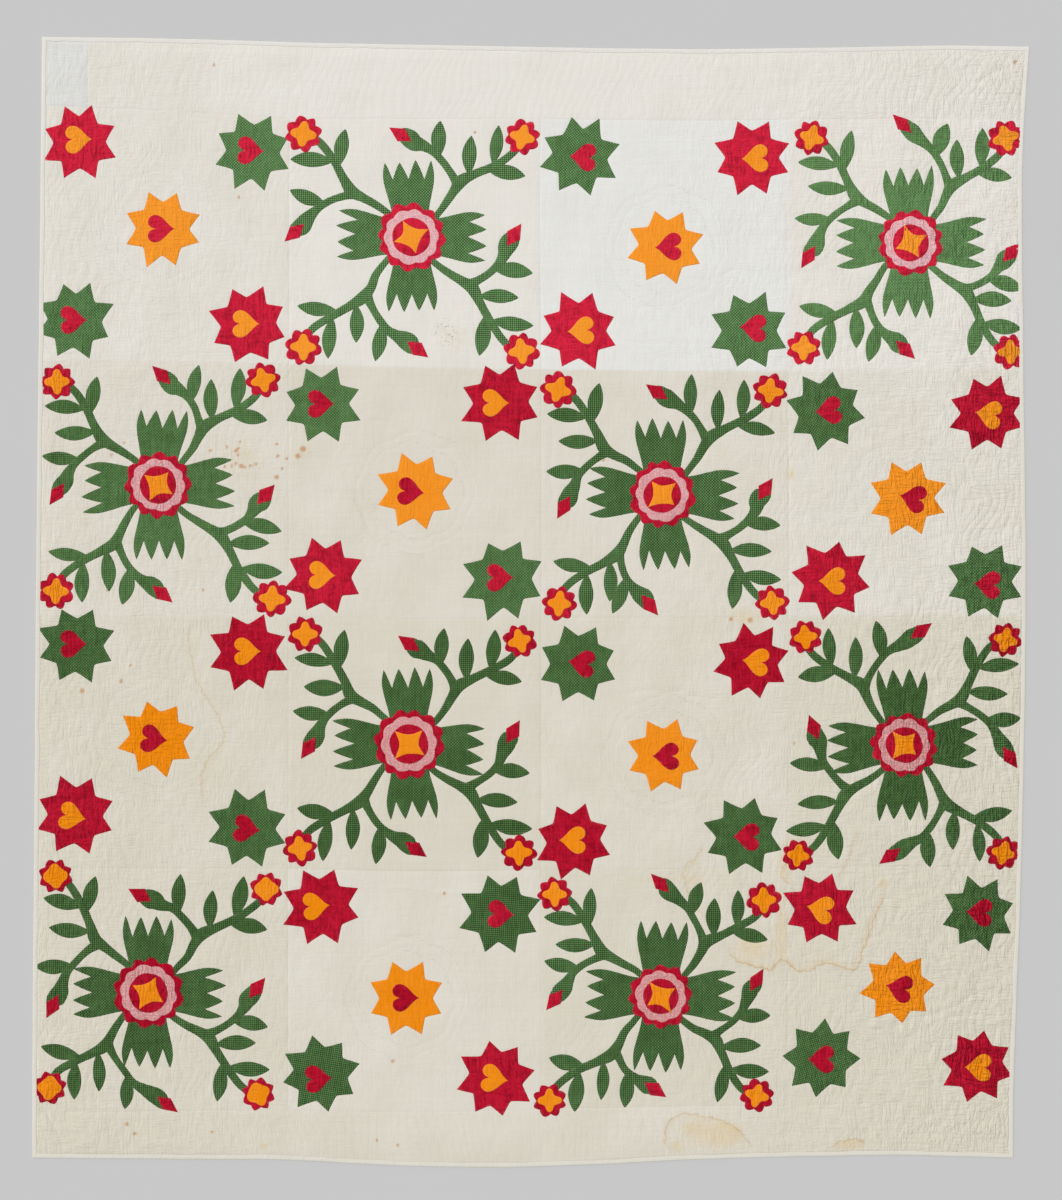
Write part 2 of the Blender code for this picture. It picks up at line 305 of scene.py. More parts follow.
CLOUDS = [Cloud(*row) for row in (
    (454, -707, 43, 35, 0.55), (523, -533, 26, 32, 0.5), (513, -655, 16, 75, 0.5),
    (338, -571, 29, 64, 0.28), (587, -724, 69, 23, 0.3), (696, -666, 23, 52, 0.25),
    (720, -577, 13, 13, 0.7), (552, -487, 52, 29, 0.3), (252, -569, 81, 8, 0.35),
    (373, -1094, 64, 35, 0.5), (402, -1088, 26, 20, 0.5), (327, -1076, 29, 17, 0.35),
    (298, -1117, 17, 14, 0.45), (653, -1114, 29, 13, 0.6), (587, -1071, 35, 23, 0.2),
    (-650, -330, 60, 90, 0.22), (-160, 545, 50, 40, 0.3), (-590, 300, 60, 50, 0.35),
    (440, -30, 40, 20, 0.5), (-548, -1115, 9, 9, 0.75), (-470, 306, 26, 20, 0.35),
    (150, 290, 10, 8, 0.4), (532, 262, 12, 16, 0.5), (-830, -140, 60, 40, 0.2),
)]
MILDEW = Cloud(-175, 552, 26, 32, 1.0)
LEAST_SPOT_MM = 4.6
Spot = namedtuple("Spot", "x_mm y_mm radius_mm")
SPOTS = [Spot(*row) for row in (
    (-623, 318, 2.6), (-597, 328, 2.2), (-605, 310, 3.2), (-613, 279, 2.0), (-594, 279, 3.4),
    (-564, 283, 2.6), (-521, 324, 2.4), (-519, 299, 3.0), (-510, 273, 2.2), (-521, 256, 3.6),
    (-656, 310, 2.6), (-599, 315, 2.6), (-601, 302, 2.4), (-627, 278, 2.6), (-604, 284, 2.2),
    (-588, 276, 2.6), (-575, 279, 2.8), (-501, 294, 2.6), (-658, 310, 2.0), (-859, 301, 2.2),
    (-867, 316, 1.8), (-834, 326, 1.8), (-867, 25, 2.4), (-672, 25, 2.0), (-599, 830, 2.2),
    (-467, 314, 4.6), (-478, 299, 4.0), (-115, 963, 2.0), (-828, -1070, 3.2), (-812, -1089, 3.0),
    (-654, -1086, 2.6), (-316, -1103, 2.0), (-273, -1113, 2.0), (410, -35, 3.4), (449, -37, 4.0),
    (148, 291, 2.4), (539, -289, 2.4), (992, 1107, 3.4), (-650, 1101, 2.2), (-820, -129, 2.4),
    (-840, -162, 3.2), (-920, -182, 3.8), (-178, -597, 3.0), (-283, -941, 3.0),
)]


# ---------------------------------------------------------------- places on the quilt
def smooth_through(values, knots, at):
    """A Catmull-Rom curve through values given at rising knots, read at the points in at."""
    values, knots, at = (np.asarray(v, float) for v in (values, knots, at))
    slopes = np.gradient(values, knots)
    i = np.clip(np.searchsorted(knots, at) - 1, 0, len(knots) - 2)
    width = knots[i + 1] - knots[i]
    f = (at - knots[i]) / width
    start = (2 * f**3 - 3 * f**2 + 1) * values[i] + (f**3 - 2 * f**2 + f) * width * slopes[i]
    end = (3 * f**2 - 2 * f**3) * values[i + 1] + (f**3 - f**2) * width * slopes[i + 1]
    return start + end


def edge_curve(edge, run_axis, share):
    """Points on an edge at the given shares, 0 to 1, of its run along run_axis."""
    points = np.array(edge)
    run = points[:, run_axis]
    at = run[0] + (run[-1] - run[0]) * np.asarray(share, float)
    curve = [smooth_through(points[:, axis], run, at) for axis in (0, 1)]
    curve[run_axis] = at
    return np.stack(curve, axis=-1)


def between_edges(s, t):
    """Coons patch: the four edges blended, less the bilinear blend of the four corners."""
    s, t = np.broadcast_arrays(np.asarray(s, float), np.asarray(t, float))
    foot, head = edge_curve(FOOT_EDGE, 0, s), edge_curve(HEAD_EDGE, 0, s)
    left, right = edge_curve(LEFT_EDGE, 1, t), edge_curve(RIGHT_EDGE, 1, t)
    s, t = s[..., None], t[..., None]
    corners = (
        (1 - s) * (1 - t) * np.array(FOOT_EDGE[0])
        + s * (1 - t) * np.array(FOOT_EDGE[-1])
        + (1 - s) * t * np.array(HEAD_EDGE[0])
        + s * t * np.array(HEAD_EDGE[-1])
    )
    return (1 - t) * foot + t * head + (1 - s) * left + s * right - corners


def middle_of_outline():
    """The middle of the box around the four edges."""
    share = np.linspace(0, 1, 400)
    runs = ((HEAD_EDGE, 0), (FOOT_EDGE, 0), (LEFT_EDGE, 1), (RIGHT_EDGE, 1))
    outline = np.concatenate([edge_curve(edge, axis, share) for edge, axis in runs])
    return (outline.min(axis=0) + outline.max(axis=0)) / 2


MIDDLE = middle_of_outline()


def place(s, t):
    """x and y at the shares s and t."""
    return between_edges(s, t) - MIDDLE


def shares(x, y):
    """The shares s and t of a place, found by stepping back the error of place() a few times."""
    s = (x - HEAD_EDGE[0].x_m) / WIDTH
    t = (y - LEFT_EDGE[0].y_m) / LENGTH
    for _ in range(3):
        at = place(s, t)
        s = s + (x - at[..., 0]) / WIDTH
        t = t + (y - at[..., 1]) / LENGTH
    return s, t


def seam_corners():
    """Shares of the 5 by 5 corners where seams cross or meet the sheet's edge: [row, column, s or t]."""
    y = np.array(ROW_SEAMS)
    x = np.zeros((5, 5))
    x[:, 1:4] = np.array(COLUMN_SEAMS).T
    x[:, 0], x[:, 4] = HEAD_EDGE[0].x_m, HEAD_EDGE[-1].x_m
    s, t = shares(x, y)
    s[:, 0], s[:, 4] = TUCK_START / WIDTH, 1 - TUCK_START / WIDTH
    return np.stack([s, t], axis=-1)


CORNERS = seam_corners()


def smoothstep(low, high, value):
    """0 below low, 1 above high and a smooth climb between."""
    f = np.clip((value - low) / (high - low), 0, 1)
    return f * f * (3 - 2 * f)


def bell(distance, width):
    """1 at no distance, falling off to 0: exp(-(d / w)^2)."""
    return np.exp(-((distance / width) ** 2))


def waves(x, y, kind):
    """Sum of plane waves sin(k.p + phase), of random length, heading and phase, scaled to about one."""
    rng = np.random.default_rng(kind.seed)
    lengths = rng.uniform(kind.shortest, kind.longest, kind.count)
    headings = kind.heading + rng.uniform(-kind.spread, kind.spread, kind.count)
    phases = rng.uniform(0, 2 * np.pi, kind.count)
    x, y = np.broadcast_arrays(x, y)
    total = np.zeros(x.shape)
    for k, heading, phase in zip(2 * np.pi / lengths, headings, phases):
        total += np.sin(k * (x * np.cos(heading) + y * np.sin(heading)) + phase)
    return total / np.sqrt(kind.count / 2)


# ---------------------------------------------------------------- heights
# Random waves: lengths in metres, and the heading across their crests in radians from +X.
Waves = namedtuple("Waves", "seed count shortest longest heading spread")
QUILTING_BEND = Waves(11, 9, 0.09, 0.35, np.pi / 2, 0.9)
QUILTING_FIRM = Waves(12, 9, 0.15, 0.5, 0, np.pi)
BORDER_BEND = Waves(13, 7, 0.08, 0.25, 0, np.pi)
HUMMOCKS = Waves(21, 14, 0.06, 0.16, 0, np.pi)
DRAWN_UP = Waves(22, 9, 0.12, 0.4, 0, np.pi)
UPRIGHT_RIPPLES = Waves(23, 40, 0.013, 0.028, 0, 0.7)
LEVEL_RIPPLES = Waves(24, 24, 0.013, 0.03, np.pi / 2, 0.6)
PUFFS = Waves(25, 30, 0.028, 0.055, 0, np.pi)
HAND_SEWN = Waves(31, 9, 0.02, 0.30, 0, 0)  # along the binding; each side has its own seed
BINDING_PUCKERS = Waves(41, 16, 0.007, 0.022, 0, 0.5)
BACKING_HOLLOWS = Waves(41, 12, 0.04, 0.12, 0, np.pi)

HUMMOCK_HEIGHT = 0.32 * MM
PUFF_HEIGHT = 0.15 * MM
QUILTING_NARROWNESS = 2.5  # the power that narrows a quilting line's trough
CREASE_STRENGTH = 1.4
CREASE_WIDTH = 4.5 * MM
SEAM_DEPTH = 0.20 * MM
SEAM_WIDTH = 2.2 * MM
DITCH_DEPTH = 0.16 * MM  # of the ditch round a patch
DITCH_WIDTH = 4.0 * MM
COVERED = 0.9 * MM  # how far the ground cloth lies below its height under a patch
REACH = 30 * MM  # how far from a crease or a tide line its distance is still told

QUILTING_SWING = 11 * MM
WREATH_INNER = 96 * MM  # radius, of the quilted wreath round a middle star
WREATH_SCALLOP = 8 * MM
WREATH_FIRM = 0.30
BORDER_SWING = 7 * MM
BORDER_SLANT = 0.30
CABLE_SWING = 16 * MM  # of the twisted cable quilted at the head border's right-hand end
CABLE_LENGTH = 140 * MM

# How drawn up the cloth is, from the left edge to the right one.
Liveliness = namedtuple("Liveliness", "x_m amount")
LIVELINESS = [Liveliness(*row) for row in (
    (-1.05, 1.3), (-0.75, 1.05), (-0.28, 0.38), (0.25, 0.60), (0.72, 1.42), (1.05, 2.25),
)]


def nearest_seams(x, s, t):
    """Metres to the nearest column seam and row seam, and the swell, 0 on seams to 1 in a block."""
    order = np.argsort(CORNERS[:, 2, 1])
    column_s = [np.interp(t, CORNERS[order, c, 1], CORNERS[order, c, 0]) for c in range(5)]
    row_t = [np.interp(s, CORNERS[r, :, 0], CORNERS[r, :, 1]) for r in range(5)]
    in_blocks = (t < row_t[0]) & (t > row_t[4])
    to_column = np.min([np.abs(s - line) for line in column_s[1:4]], axis=0) * WIDTH
    to_column = np.where(in_blocks, to_column, np.where(t >= row_t[0], np.abs(x - CORNER_PIECE_SEAM), 1.0))
    to_row = np.min([np.abs(t - line) for line in row_t], axis=0) * LENGTH

    def hump(value, lines):
        lines = np.sort(np.stack([np.zeros_like(value), *lines, np.ones_like(value)]), axis=0)
        i = np.clip((value >= lines).sum(axis=0) - 1, 0, len(lines) - 2)
        low = np.take_along_axis(lines, i[None], 0)[0]
        high = np.take_along_axis(lines, i[None] + 1, 0)[0]
        return np.sin(np.pi * np.clip((value - low) / (high - low), 0, 1))

    swell = (hump(s, column_s[1:4]) * hump(t, row_t)) ** SWELL_SHARPNESS
    return to_column, to_row, swell


def with_wreaths(x, y, phase, along, firm, spacing):
    """The quilting, but with a scalloped wreath of two lines round each middle star."""
    for star in (star for star in STARS if star.place == "middle"):
        dx, dy = x - star.x_mm * MM, y - star.y_mm * MM
        r, a = np.hypot(dx, dy), np.arctan2(dy, dx)
        ring = (r - WREATH_INNER - WREATH_SCALLOP * np.abs(np.cos(STAR_POINTS / 2 * a))) / spacing
        near = np.abs(ring - 0.5)
        phase = np.where(near < 1.0, ring, phase)
        along = np.where(near < 1.0, a * WREATH_INNER, along)
        ring_firm = WREATH_FIRM * smoothstep(1.0, 0.7, near)
        firm = np.where(near < 1.0, ring_firm, firm * smoothstep(1.0, 1.5, near))
    return phase, along, firm


def quilting(x, y, sizes):
    """Two families of quilting lines, each as (phase, along, firm).

    The phase is whole on each line, along is the run along it in metres, and firm is how hard it is drawn.
    Lines run up and down the blocks in slow bends and ring each middle star in a scalloped wreath. The
    borders have slanting lines, and towards the right-hand end of the head border a second set crosses them.
    """
    spacing = sizes.quilting_spacing
    phase = (x + QUILTING_SWING * waves(x, y, QUILTING_BEND)) / spacing
    along = y
    firm = (0.10 + 0.32 * smoothstep(-0.2, 1.3, waves(x, y, QUILTING_FIRM))) * liveliness(x, y)
    phase, along, firm = with_wreaths(x, y, phase, along, firm, spacing)
    s, t = shares(x, y)
    head = np.interp(s, CORNERS[0, :, 0], CORNERS[0, :, 1])
    foot = np.interp(s, CORNERS[4, :, 0], CORNERS[4, :, 1])
    in_head, in_foot = t > head, t < foot
    border = in_head | in_foot
    up = np.where(in_head, t - head, foot - t) * LENGTH
    inside = smoothstep(0, 0.006, up) * smoothstep(0.008, 0.016, np.where(in_head, 1 - t, t) * LENGTH)
    bend = BORDER_SWING * waves(x, y, BORDER_BEND)
    rope = CABLE_SWING * np.sin(2 * np.pi * up / CABLE_LENGTH + 0.6)
    end = smoothstep(0.50, 0.92, x)
    slant = BORDER_SLANT * up * (1 - end) - rope * end
    phase = np.where(border, (x + bend - slant) / spacing, phase)
    along = np.where(border, up, along)
    firm = np.where(border, inside * (0.25 + 0.55 * end), firm * smoothstep(0, 0.006, -up))
    crossing = (x + bend - rope) / spacing
    return (phase, along, firm), (crossing, up, np.where(border, 0.8 * inside * end, 0))


def nearest_line(x, y, lines, reach):
    """Signed distance to the nearest of some polylines, and how strong that line is there.

    lines holds (points, strength). The sign is the side of the nearest stretch, and the strength falls to
    nothing at both ends of a line and beyond reach.
    """
    best = np.full(np.shape(x), reach)
    strength = np.zeros(np.shape(x))
    for points, power in lines:
        points = np.asarray(points, float)
        steps = np.hypot(*np.diff(points, axis=0).T)
        run = np.concatenate([[0], np.cumsum(steps)])
        low, high = points.min(axis=0) - reach, points.max(axis=0) + reach
        near = (x > low[0]) & (x < high[0]) & (y > low[1]) & (y < high[1])
        px, py = x[near], y[near]
        found, signed, at = np.full(px.shape, reach), np.full(px.shape, reach), np.zeros(px.shape)
        for a, b, start, length in zip(points, points[1:], run, steps):
            way = (b - a) / length
            f = np.clip((px - a[0]) * way[0] + (py - a[1]) * way[1], 0, length)
            off_x, off_y = px - a[0] - f * way[0], py - a[1] - f * way[1]
            distance = np.hypot(off_x, off_y)
            side = np.where(way[0] * off_y - way[1] * off_x >= 0, 1.0, -1.0)
            closer = distance < found
            found = np.where(closer, distance, found)
            signed = np.where(closer, side * distance, signed)
            at = np.where(closer, start + f, at)
        ends = smoothstep(0, 0.14 * run[-1], np.minimum(at, run[-1] - at))
        closer = found < np.abs(best[near])
        best[near] = np.where(closer, signed, best[near])
        strength[near] = np.where(closer, power * ends, strength[near])
    return best, strength


def crease_lines():
    """The creases as polylines with their heights in mm, each bent a little so that none is ruled."""
    lines = []
    for i, crease in enumerate(CREASES):
        a, b = np.array(crease[:2]) * MM, np.array(crease[2:4]) * MM
        f = np.linspace(0, 1, 7)[:, None]
        across = np.array([a[1] - b[1], b[0] - a[0]])
        bend = 0.03 * np.sin(2.4 * np.pi * f + i) * np.sin(np.pi * f)
        lines.append((a + (b - a) * f + across * bend, crease.height_mm))
    return lines


def liveliness(x, y):
    """How drawn up the cloth is: least left of the middle, most at the right, and more at the foot."""
    at, amount = np.array(LIVELINESS).T
    return smooth_through(amount, at, x) * (1 - 0.14 * y)


def edge_inset(s, t):
    """Metres in from the nearest edge of the quilt."""
    return np.minimum(np.minimum(s, 1 - s) * WIDTH, np.minimum(t, 1 - t) * LENGTH)


def fullness(s, t):
    """0 where the sheet is pressed flat in the binding, up to 1 where it has its full thickness."""
    past = edge_inset(s, t) - BINDING_WIDTH - GAP
    rise = 1 - np.clip(1 - past / (FULL_SHEET - BINDING_WIDTH - GAP), 0, 1) ** 1.2
    puffed = 1 - np.exp(-np.maximum(past, 0) / CLOTH)
    return 0.35 * puffed + 0.65 * rise


def cloth_height(x, y, sizes):
    """Height of the top of the ground cloth.

    The swell of each block, plus slow hummocks, ripples that come and go and mostly run up and down, the
    troughs of seams, creases and quilting, and the ditch stitched round every patch; pressed flat inside the
    binding.
    """
    s, t = shares(x, y)
    full = fullness(s, t)
    to_column, to_row, swell = nearest_seams(x, s, t)
    hummocks = HUMMOCK_HEIGHT * waves(x, y, HUMMOCKS)
    puffs = PUFF_HEIGHT * waves(x, y, PUFFS)
    patchy = smoothstep(-1.0, 1.4, waves(x, y, DRAWN_UP))
    upright = (0.045 + 0.07 * patchy) * MM * waves(x, y, UPRIGHT_RIPPLES)
    level = (0.09 - 0.05 * patchy) * MM * waves(x, y, LEVEL_RIPPLES)
    ripples = (upright + level + puffs) * sizes.wrinkles * liveliness(x, y)
    troughs = sum(
        firm * (0.5 + 0.5 * np.cos(2 * np.pi * phase)) ** QUILTING_NARROWNESS
        for phase, _, firm in quilting(x, y, sizes)
    )
    off, height_mm = nearest_line(x, y, crease_lines(), REACH)
    crease = CREASE_STRENGTH * height_mm * MM * bell(off, CREASE_WIDTH)
    seams = SEAM_DEPTH * (bell(to_column, SEAM_WIDTH) + bell(to_row, SEAM_WIDTH))
    ditch = DITCH_DEPTH * bell(outline_distance(x, y), DITCH_WIDTH)
    relief = hummocks + ripples + crease - sizes.quilting_depth * troughs - seams - ditch
    base = SHEET_LOW + sizes.swell * swell + SLOW_WAVE * np.sin(9.0 * s + 2.0) * np.sin(11.0 * t + 0.7)
    return TUCK_HIGH * (1 - full) + (base + relief) * full


def ground_height(x, y, sizes):
    """Height of the ground cloth's own mesh, which is pressed down where a patch covers it."""
    return cloth_height(x, y, sizes) - COVERED * smoothstep(-0.0008, -0.004, outline_distance(x, y))


# ---------------------------------------------------------------- outlines, in mm, anticlockwise
def turned(points, degrees):
    """The points turned anticlockwise about the origin."""
    a = np.radians(degrees)
    return points @ np.array([[np.cos(a), np.sin(a)], [-np.sin(a), np.cos(a)]])


def round_points(radius, angle):
    """Points at a radius that changes with the angle."""
    return np.stack([radius * np.cos(angle), radius * np.sin(angle)], axis=-1)


def uneven(rng, angle, count, amount):
    """1 plus a hand's unevenness: a few random waves round the turn."""
    total = np.zeros_like(angle)
    for n in range(2, 2 + count):
        total += rng.normal() * np.cos(n * angle + rng.uniform(0, 2 * np.pi)) / n
    return 1 + amount * total


def pointed_outline(rng, count, tip, notch, soft, spread, lean_deg, steps=12):
    """Straight sides from point to notch: r = T N sin(h) / (T sin(p) + N sin(h - p)), h half a point's turn.

    p is the angle from the nearest point, softened near the notch so that its corner is round. Each point
    has its own length and leans a little.
    """
    angle = np.arange(count * steps) * 2 * np.pi / (count * steps)
    half = np.pi / count
    point = ((angle + half) // (2 * half) % count).astype(int)
    tips = tip * (1 + spread * rng.normal(size=count))[point]
    lean = np.radians(lean_deg) * rng.normal(size=count)[point]
    from_tip = np.abs((angle + half) % (2 * half) - half)
    to_notch = half - from_tip
    to_notch = (np.hypot(to_notch, soft) - soft) * half / (np.hypot(half, soft) - soft)
    p = half - to_notch
    r = tips * notch * np.sin(half) / (tips * np.sin(p) + notch * np.sin(half - p))
    shifted = angle + lean * np.cos(np.clip(from_tip / half, 0, 1) * np.pi / 2) + half
    return round_points(r * uneven(rng, angle, 3, 0.008), shifted)


def heart_outline(rng):
    """x = L cos-curve along the heart, y = W sin^3: the usual heart curve, its point at +x."""
    angle = np.linspace(0, 2 * np.pi, 56, endpoint=False)
    y = HEART_WIDTH / 2 * np.sin(angle) ** 3
    x = -(13 * np.cos(angle) - 5 * np.cos(2 * angle) - 2 * np.cos(3 * angle) - np.cos(4 * angle))
    x = (x - 3) * HEART_LENGTH / 29
    return np.stack([x, y], axis=-1)[::-1] * uneven(rng, angle[::-1], 4, 0.02)[:, None]


def scallop_outline(rng, radius, count, depth, point, steps=12):
    """Lobes: r = R (1 - d f^p), f from 0 at a lobe's tip to 1 in a valley.

    p is 2 for round lobes and 1 for points.
    """
    angle = np.arange(count * steps) * 2 * np.pi / (count * steps)
    wander = angle + 0.05 * np.sin(angle * 2 + rng.uniform(0, 6))
    wander += 0.03 * np.sin(angle * 5 + rng.uniform(0, 6))
    f = np.abs(wander * count / np.pi % 2 - 1)
    return round_points(radius * (1 - depth * f**point) * uneven(rng, angle, 5, 0.025), angle)


def cross_outline(rng, radius, waist, steps=64):
    """Four round lobes: the radius swings between waist and radius, held long at both."""
    angle = np.arange(steps) * 2 * np.pi / steps
    swing = np.cos(4 * angle)
    swing = np.sign(swing) * np.abs(swing) ** 0.85
    r = (radius + waist) / 2 + (radius - waist) / 2 * swing
    return round_points(r * uneven(rng, angle, 5, 0.05), angle)


def leaf_outline(rng, leaf, steps=20):
    """Width along the midrib: w sin(pi f^1.04)^0.8, the midrib bowed as a parabola."""
    f = (1 - np.cos(np.linspace(0, np.pi, steps + 1))) / 2
    half = leaf.width / 2 * np.sin(np.pi * f**1.04) ** 0.80 * (1 + 0.05 * rng.normal())
    base, tip = np.array([leaf.base_u, leaf.base_v]), np.array([leaf.tip_u, leaf.tip_v])
    length = np.hypot(*(tip - base))
    way = (tip - base) / length
    across = np.array([-way[1], way[0]])
    mid = base + way * (f * length)[:, None] + across * (4 * leaf.bow * f * (1 - f))[:, None]
    right, left = mid - across * half[:, None], mid + across * half[:, None]
    return np.concatenate([right[:-1], left[:0:-1]])


def diamond_outline(leaf, steps=6):
    """Four nearly straight sides from point to point, widest at the middle."""
    base, tip = np.array([leaf.base_u, leaf.base_v]), np.array([leaf.tip_u, leaf.tip_v])
    way = (tip - base) / np.hypot(*(tip - base))
    across = np.array([-way[1], way[0]])
    middle = base + (tip - base) * 0.47
    corners = np.array([base, middle - across * leaf.width / 2, tip, middle + across * leaf.width / 2])
    f = np.arange(steps)[:, None] / steps
    return np.concatenate([a + (b - a) * f for a, b in zip(corners, np.roll(corners, -1, axis=0))])


# ---------------------------------------------------------------- patches
# How high each sort of patch stands off the ground cloth. Each is one or two cloths above what it covers.
LIFT = {
    "leaf": 0.60 * MM,
    "branch": 0.68 * MM,
    "stem": 0.76 * MM,
    "star": 0.72 * MM,
    "coxcomb": 0.72 * MM,
    "heart": 1.20 * MM,
    "bud": 1.15 * MM,
    "blossom": 1.25 * MM,
    "cross": 1.70 * MM,
    "disc": 1.25 * MM,
    "ring": 1.70 * MM,
    "eye": 2.10 * MM,
    "rose_cross": 2.50 * MM,
}
Patch = namedtuple("Patch", "cloth sort points faces outline grain_deg shade")
ON_GROUND = ("leaf", "branch", "stem", "star", "coxcomb", "blossom", "disc")  # the sorts that lie lowest
PATCH_INSET = 5.0 * MM  # how far in from the quilt's edge every patch ends, under the binding
UNDER_BINDING = 0.05  # what is left of a patch's lift where the binding presses on it
SUNK_RIM = 0.25 * MM
RIM_ROUND = 0.45 * MM
PATCH_SPACING = 6.5  # mm between the rings inside a patch
RIBBON_STEP = 4.5  # mm along a stem
RIM_RINGS = (0.0, 0.7, 1.6, 3.4)  # mm in from the outline


def grid_faces(rows, columns, wrap=False):
    """Quads of a grid whose points are numbered along each row; wrap joins the last row to the first."""
    r = np.arange(rows if wrap else rows - 1)[:, None]
    c = np.arange(columns - 1)[None]
    following = (r + 1) % rows
    corners = (r * columns + c, following * columns + c, following * columns + c + 1, r * columns + c + 1)
    return np.stack(corners, axis=-1).reshape(-1, 4)


def fan(outline, centre):
    """Rings from an outline in to its centre: close ones at the rim, then even ones, then the one point.

    Quads whose last two corners are alike are the triangles round the centre.
    """
    centre = np.asarray(centre, float)
    reach = np.hypot(*(outline - centre).T)
    typical = np.median(reach)
    count = max(2, round(typical / PATCH_SPACING))
    rings = [np.minimum(ring / reach, 0.5) for ring in RIM_RINGS]
    for f in np.linspace(RIM_RINGS[-1] / typical, 1, count + 1)[1:-1]:
        rings.append(np.maximum(f, rings[-1] + 0.01))
    share = np.stack(rings, axis=1)[..., None]
    points = outline[:, None] * (1 - share) + centre * share
    rows, columns = points.shape[:2]
    last = np.arange(rows) * columns + columns - 1
    pole = np.full(rows, rows * columns)
    tips = np.stack([last, np.roll(last, -1), pole, pole], axis=-1)
    faces = np.concatenate([grid_faces(rows, columns, wrap=True), tips])
    return np.concatenate([points.reshape(-1, 2), centre[None]]), faces, outline


def ribbon(path, rng):
    """A strip of changing width carried along a smooth curve through its path points."""
    knots = np.array(path, float)
    knots[1:, :2] += rng.normal(scale=0.8, size=(len(path) - 1, 2))
    run = np.concatenate([[0], np.cumsum(np.hypot(*np.diff(knots[:, :2], axis=0).T))])
    at = np.linspace(0, run[-1], round(run[-1] / RIBBON_STEP))
    u, v, width = (smooth_through(knots[:, k], run, at) for k in range(3))
    way = np.stack([np.gradient(u), np.gradient(v)], axis=-1)
    way /= np.hypot(*way.T)[:, None]
    across = np.stack([-way[:, 1], way[:, 0]], axis=-1)
    half = width * uneven(rng, at / 30, 4, 0.03) / 2
    lanes = np.array([-1, -0.88, -0.55, 0, 0.55, 0.88, 1])
    points = np.stack([u, v], axis=-1)[:, None] + across[:, None] * (half[:, None] * lanes)[..., None]
    outline = np.concatenate([points[:, 0], points[::-1, -1]])
    return points.reshape(-1, 2), grid_faces(len(at), len(lanes)), outline


ToothKnot = namedtuple("ToothKnot", "across depth")
TOOTH_KNOTS = [ToothKnot(*row) for row in (  # over half the coxcomb; depth is 0 at a tip, 1 in a valley
    (0.0, 1), (0.31, 0), (0.61, 1), (0.89, 0), (1.0, 1),
)]
TOOTH_BULGE = 1.2
COXCOMB_NECK = 37.5  # half widths, in mm
COXCOMB_WIDEST = 53.0
COXCOMB_INNER = 34.0  # its inner end, under the rose's disc


def coxcomb(rng):
    """Lanes from the neck out to a toothed end.

    x = across * half width, which swells smoothly from the neck to the widest place, and the reach of a lane
    is a valley's plus the tooth's height times 1 - depth ** bulge. The outer flanks are quarter rounds.
    """
    half_knots = np.array(TOOTH_KNOTS)
    knots = np.concatenate([half_knots[::-1], half_knots[1:] * (-1, 1)])
    knots[1:-1, 0] += 0.012 * rng.normal(size=len(knots) - 2)
    level = COXCOMB_REACH - TOOTH_DEPTH * knots[:, 1] + 2.2 * rng.normal(size=len(knots))
    stops = list(zip(*knots.T, level))
    lanes, reach = [], []
    for (a, depth, start), (b, _, end) in zip(stops, stops[1:]):
        f = np.linspace(0, 1, 6)[:-1]
        from_tip = f if depth == 0 else 1 - f
        if max(abs(a), abs(b)) == 1:
            from_tip = 1 - (1 - from_tip) ** 1.6
            f = from_tip if depth == 0 else 1 - from_tip
            drop = 1 - np.sqrt(1 - from_tip)
        else:
            drop = from_tip**TOOTH_BULGE
        tip, valley = (start, end) if depth == 0 else (end, start)
        lanes.append(a + (b - a) * f)
        reach.append(tip + (valley - tip) * drop)
    lanes = np.concatenate([*lanes, [-1.0]])[:, None]
    reach = np.concatenate([*reach, [level[-1]]])[:, None]
    share = np.array([0, 0.13, 0.26, 0.38, 0.5, 0.61, 0.71, 0.8, 0.88, 0.94, 0.975, 0.992, 1.0])
    out = COXCOMB_INNER + (reach - COXCOMB_INNER) * share
    valley_level = COXCOMB_REACH - TOOTH_DEPTH
    swell = smoothstep(COXCOMB_INNER + 6, valley_level + 12, out)
    half = COXCOMB_NECK + (COXCOMB_WIDEST - COXCOMB_NECK) * swell
    lean = 0.015 * rng.normal() * out + 3.0 * rng.normal() * (out / COXCOMB_REACH) ** 2
    points = np.stack([out, lanes * half + lean], axis=-1)
    outline = np.concatenate([points[::-1, 0], points[0, 1:-1], points[:, -1], points[-1, -2:0:-1]])
    return points.reshape(-1, 2), grid_faces(*out.shape), outline


def at_place(shape, x_mm, y_mm):
    """A shape's points and outline moved from mm about (x_mm, y_mm) to metres, and held under the binding."""
    points, faces, outline = shape
    moved = []
    for mm in (points, outline):
        s, t = shares(*((mm + (x_mm, y_mm)) * MM).T)
        low_s, low_t = PATCH_INSET / WIDTH, PATCH_INSET / LENGTH
        moved.append(place(np.clip(s, low_s, 1 - low_s), np.clip(t, low_t, 1 - low_t)))
    return moved[0], faces, moved[1]


def turned_shape(shape, degrees):
    """A shape turned anticlockwise about the origin."""
    points, faces, outline = shape
    return turned(points, degrees), faces, turned(outline, degrees)


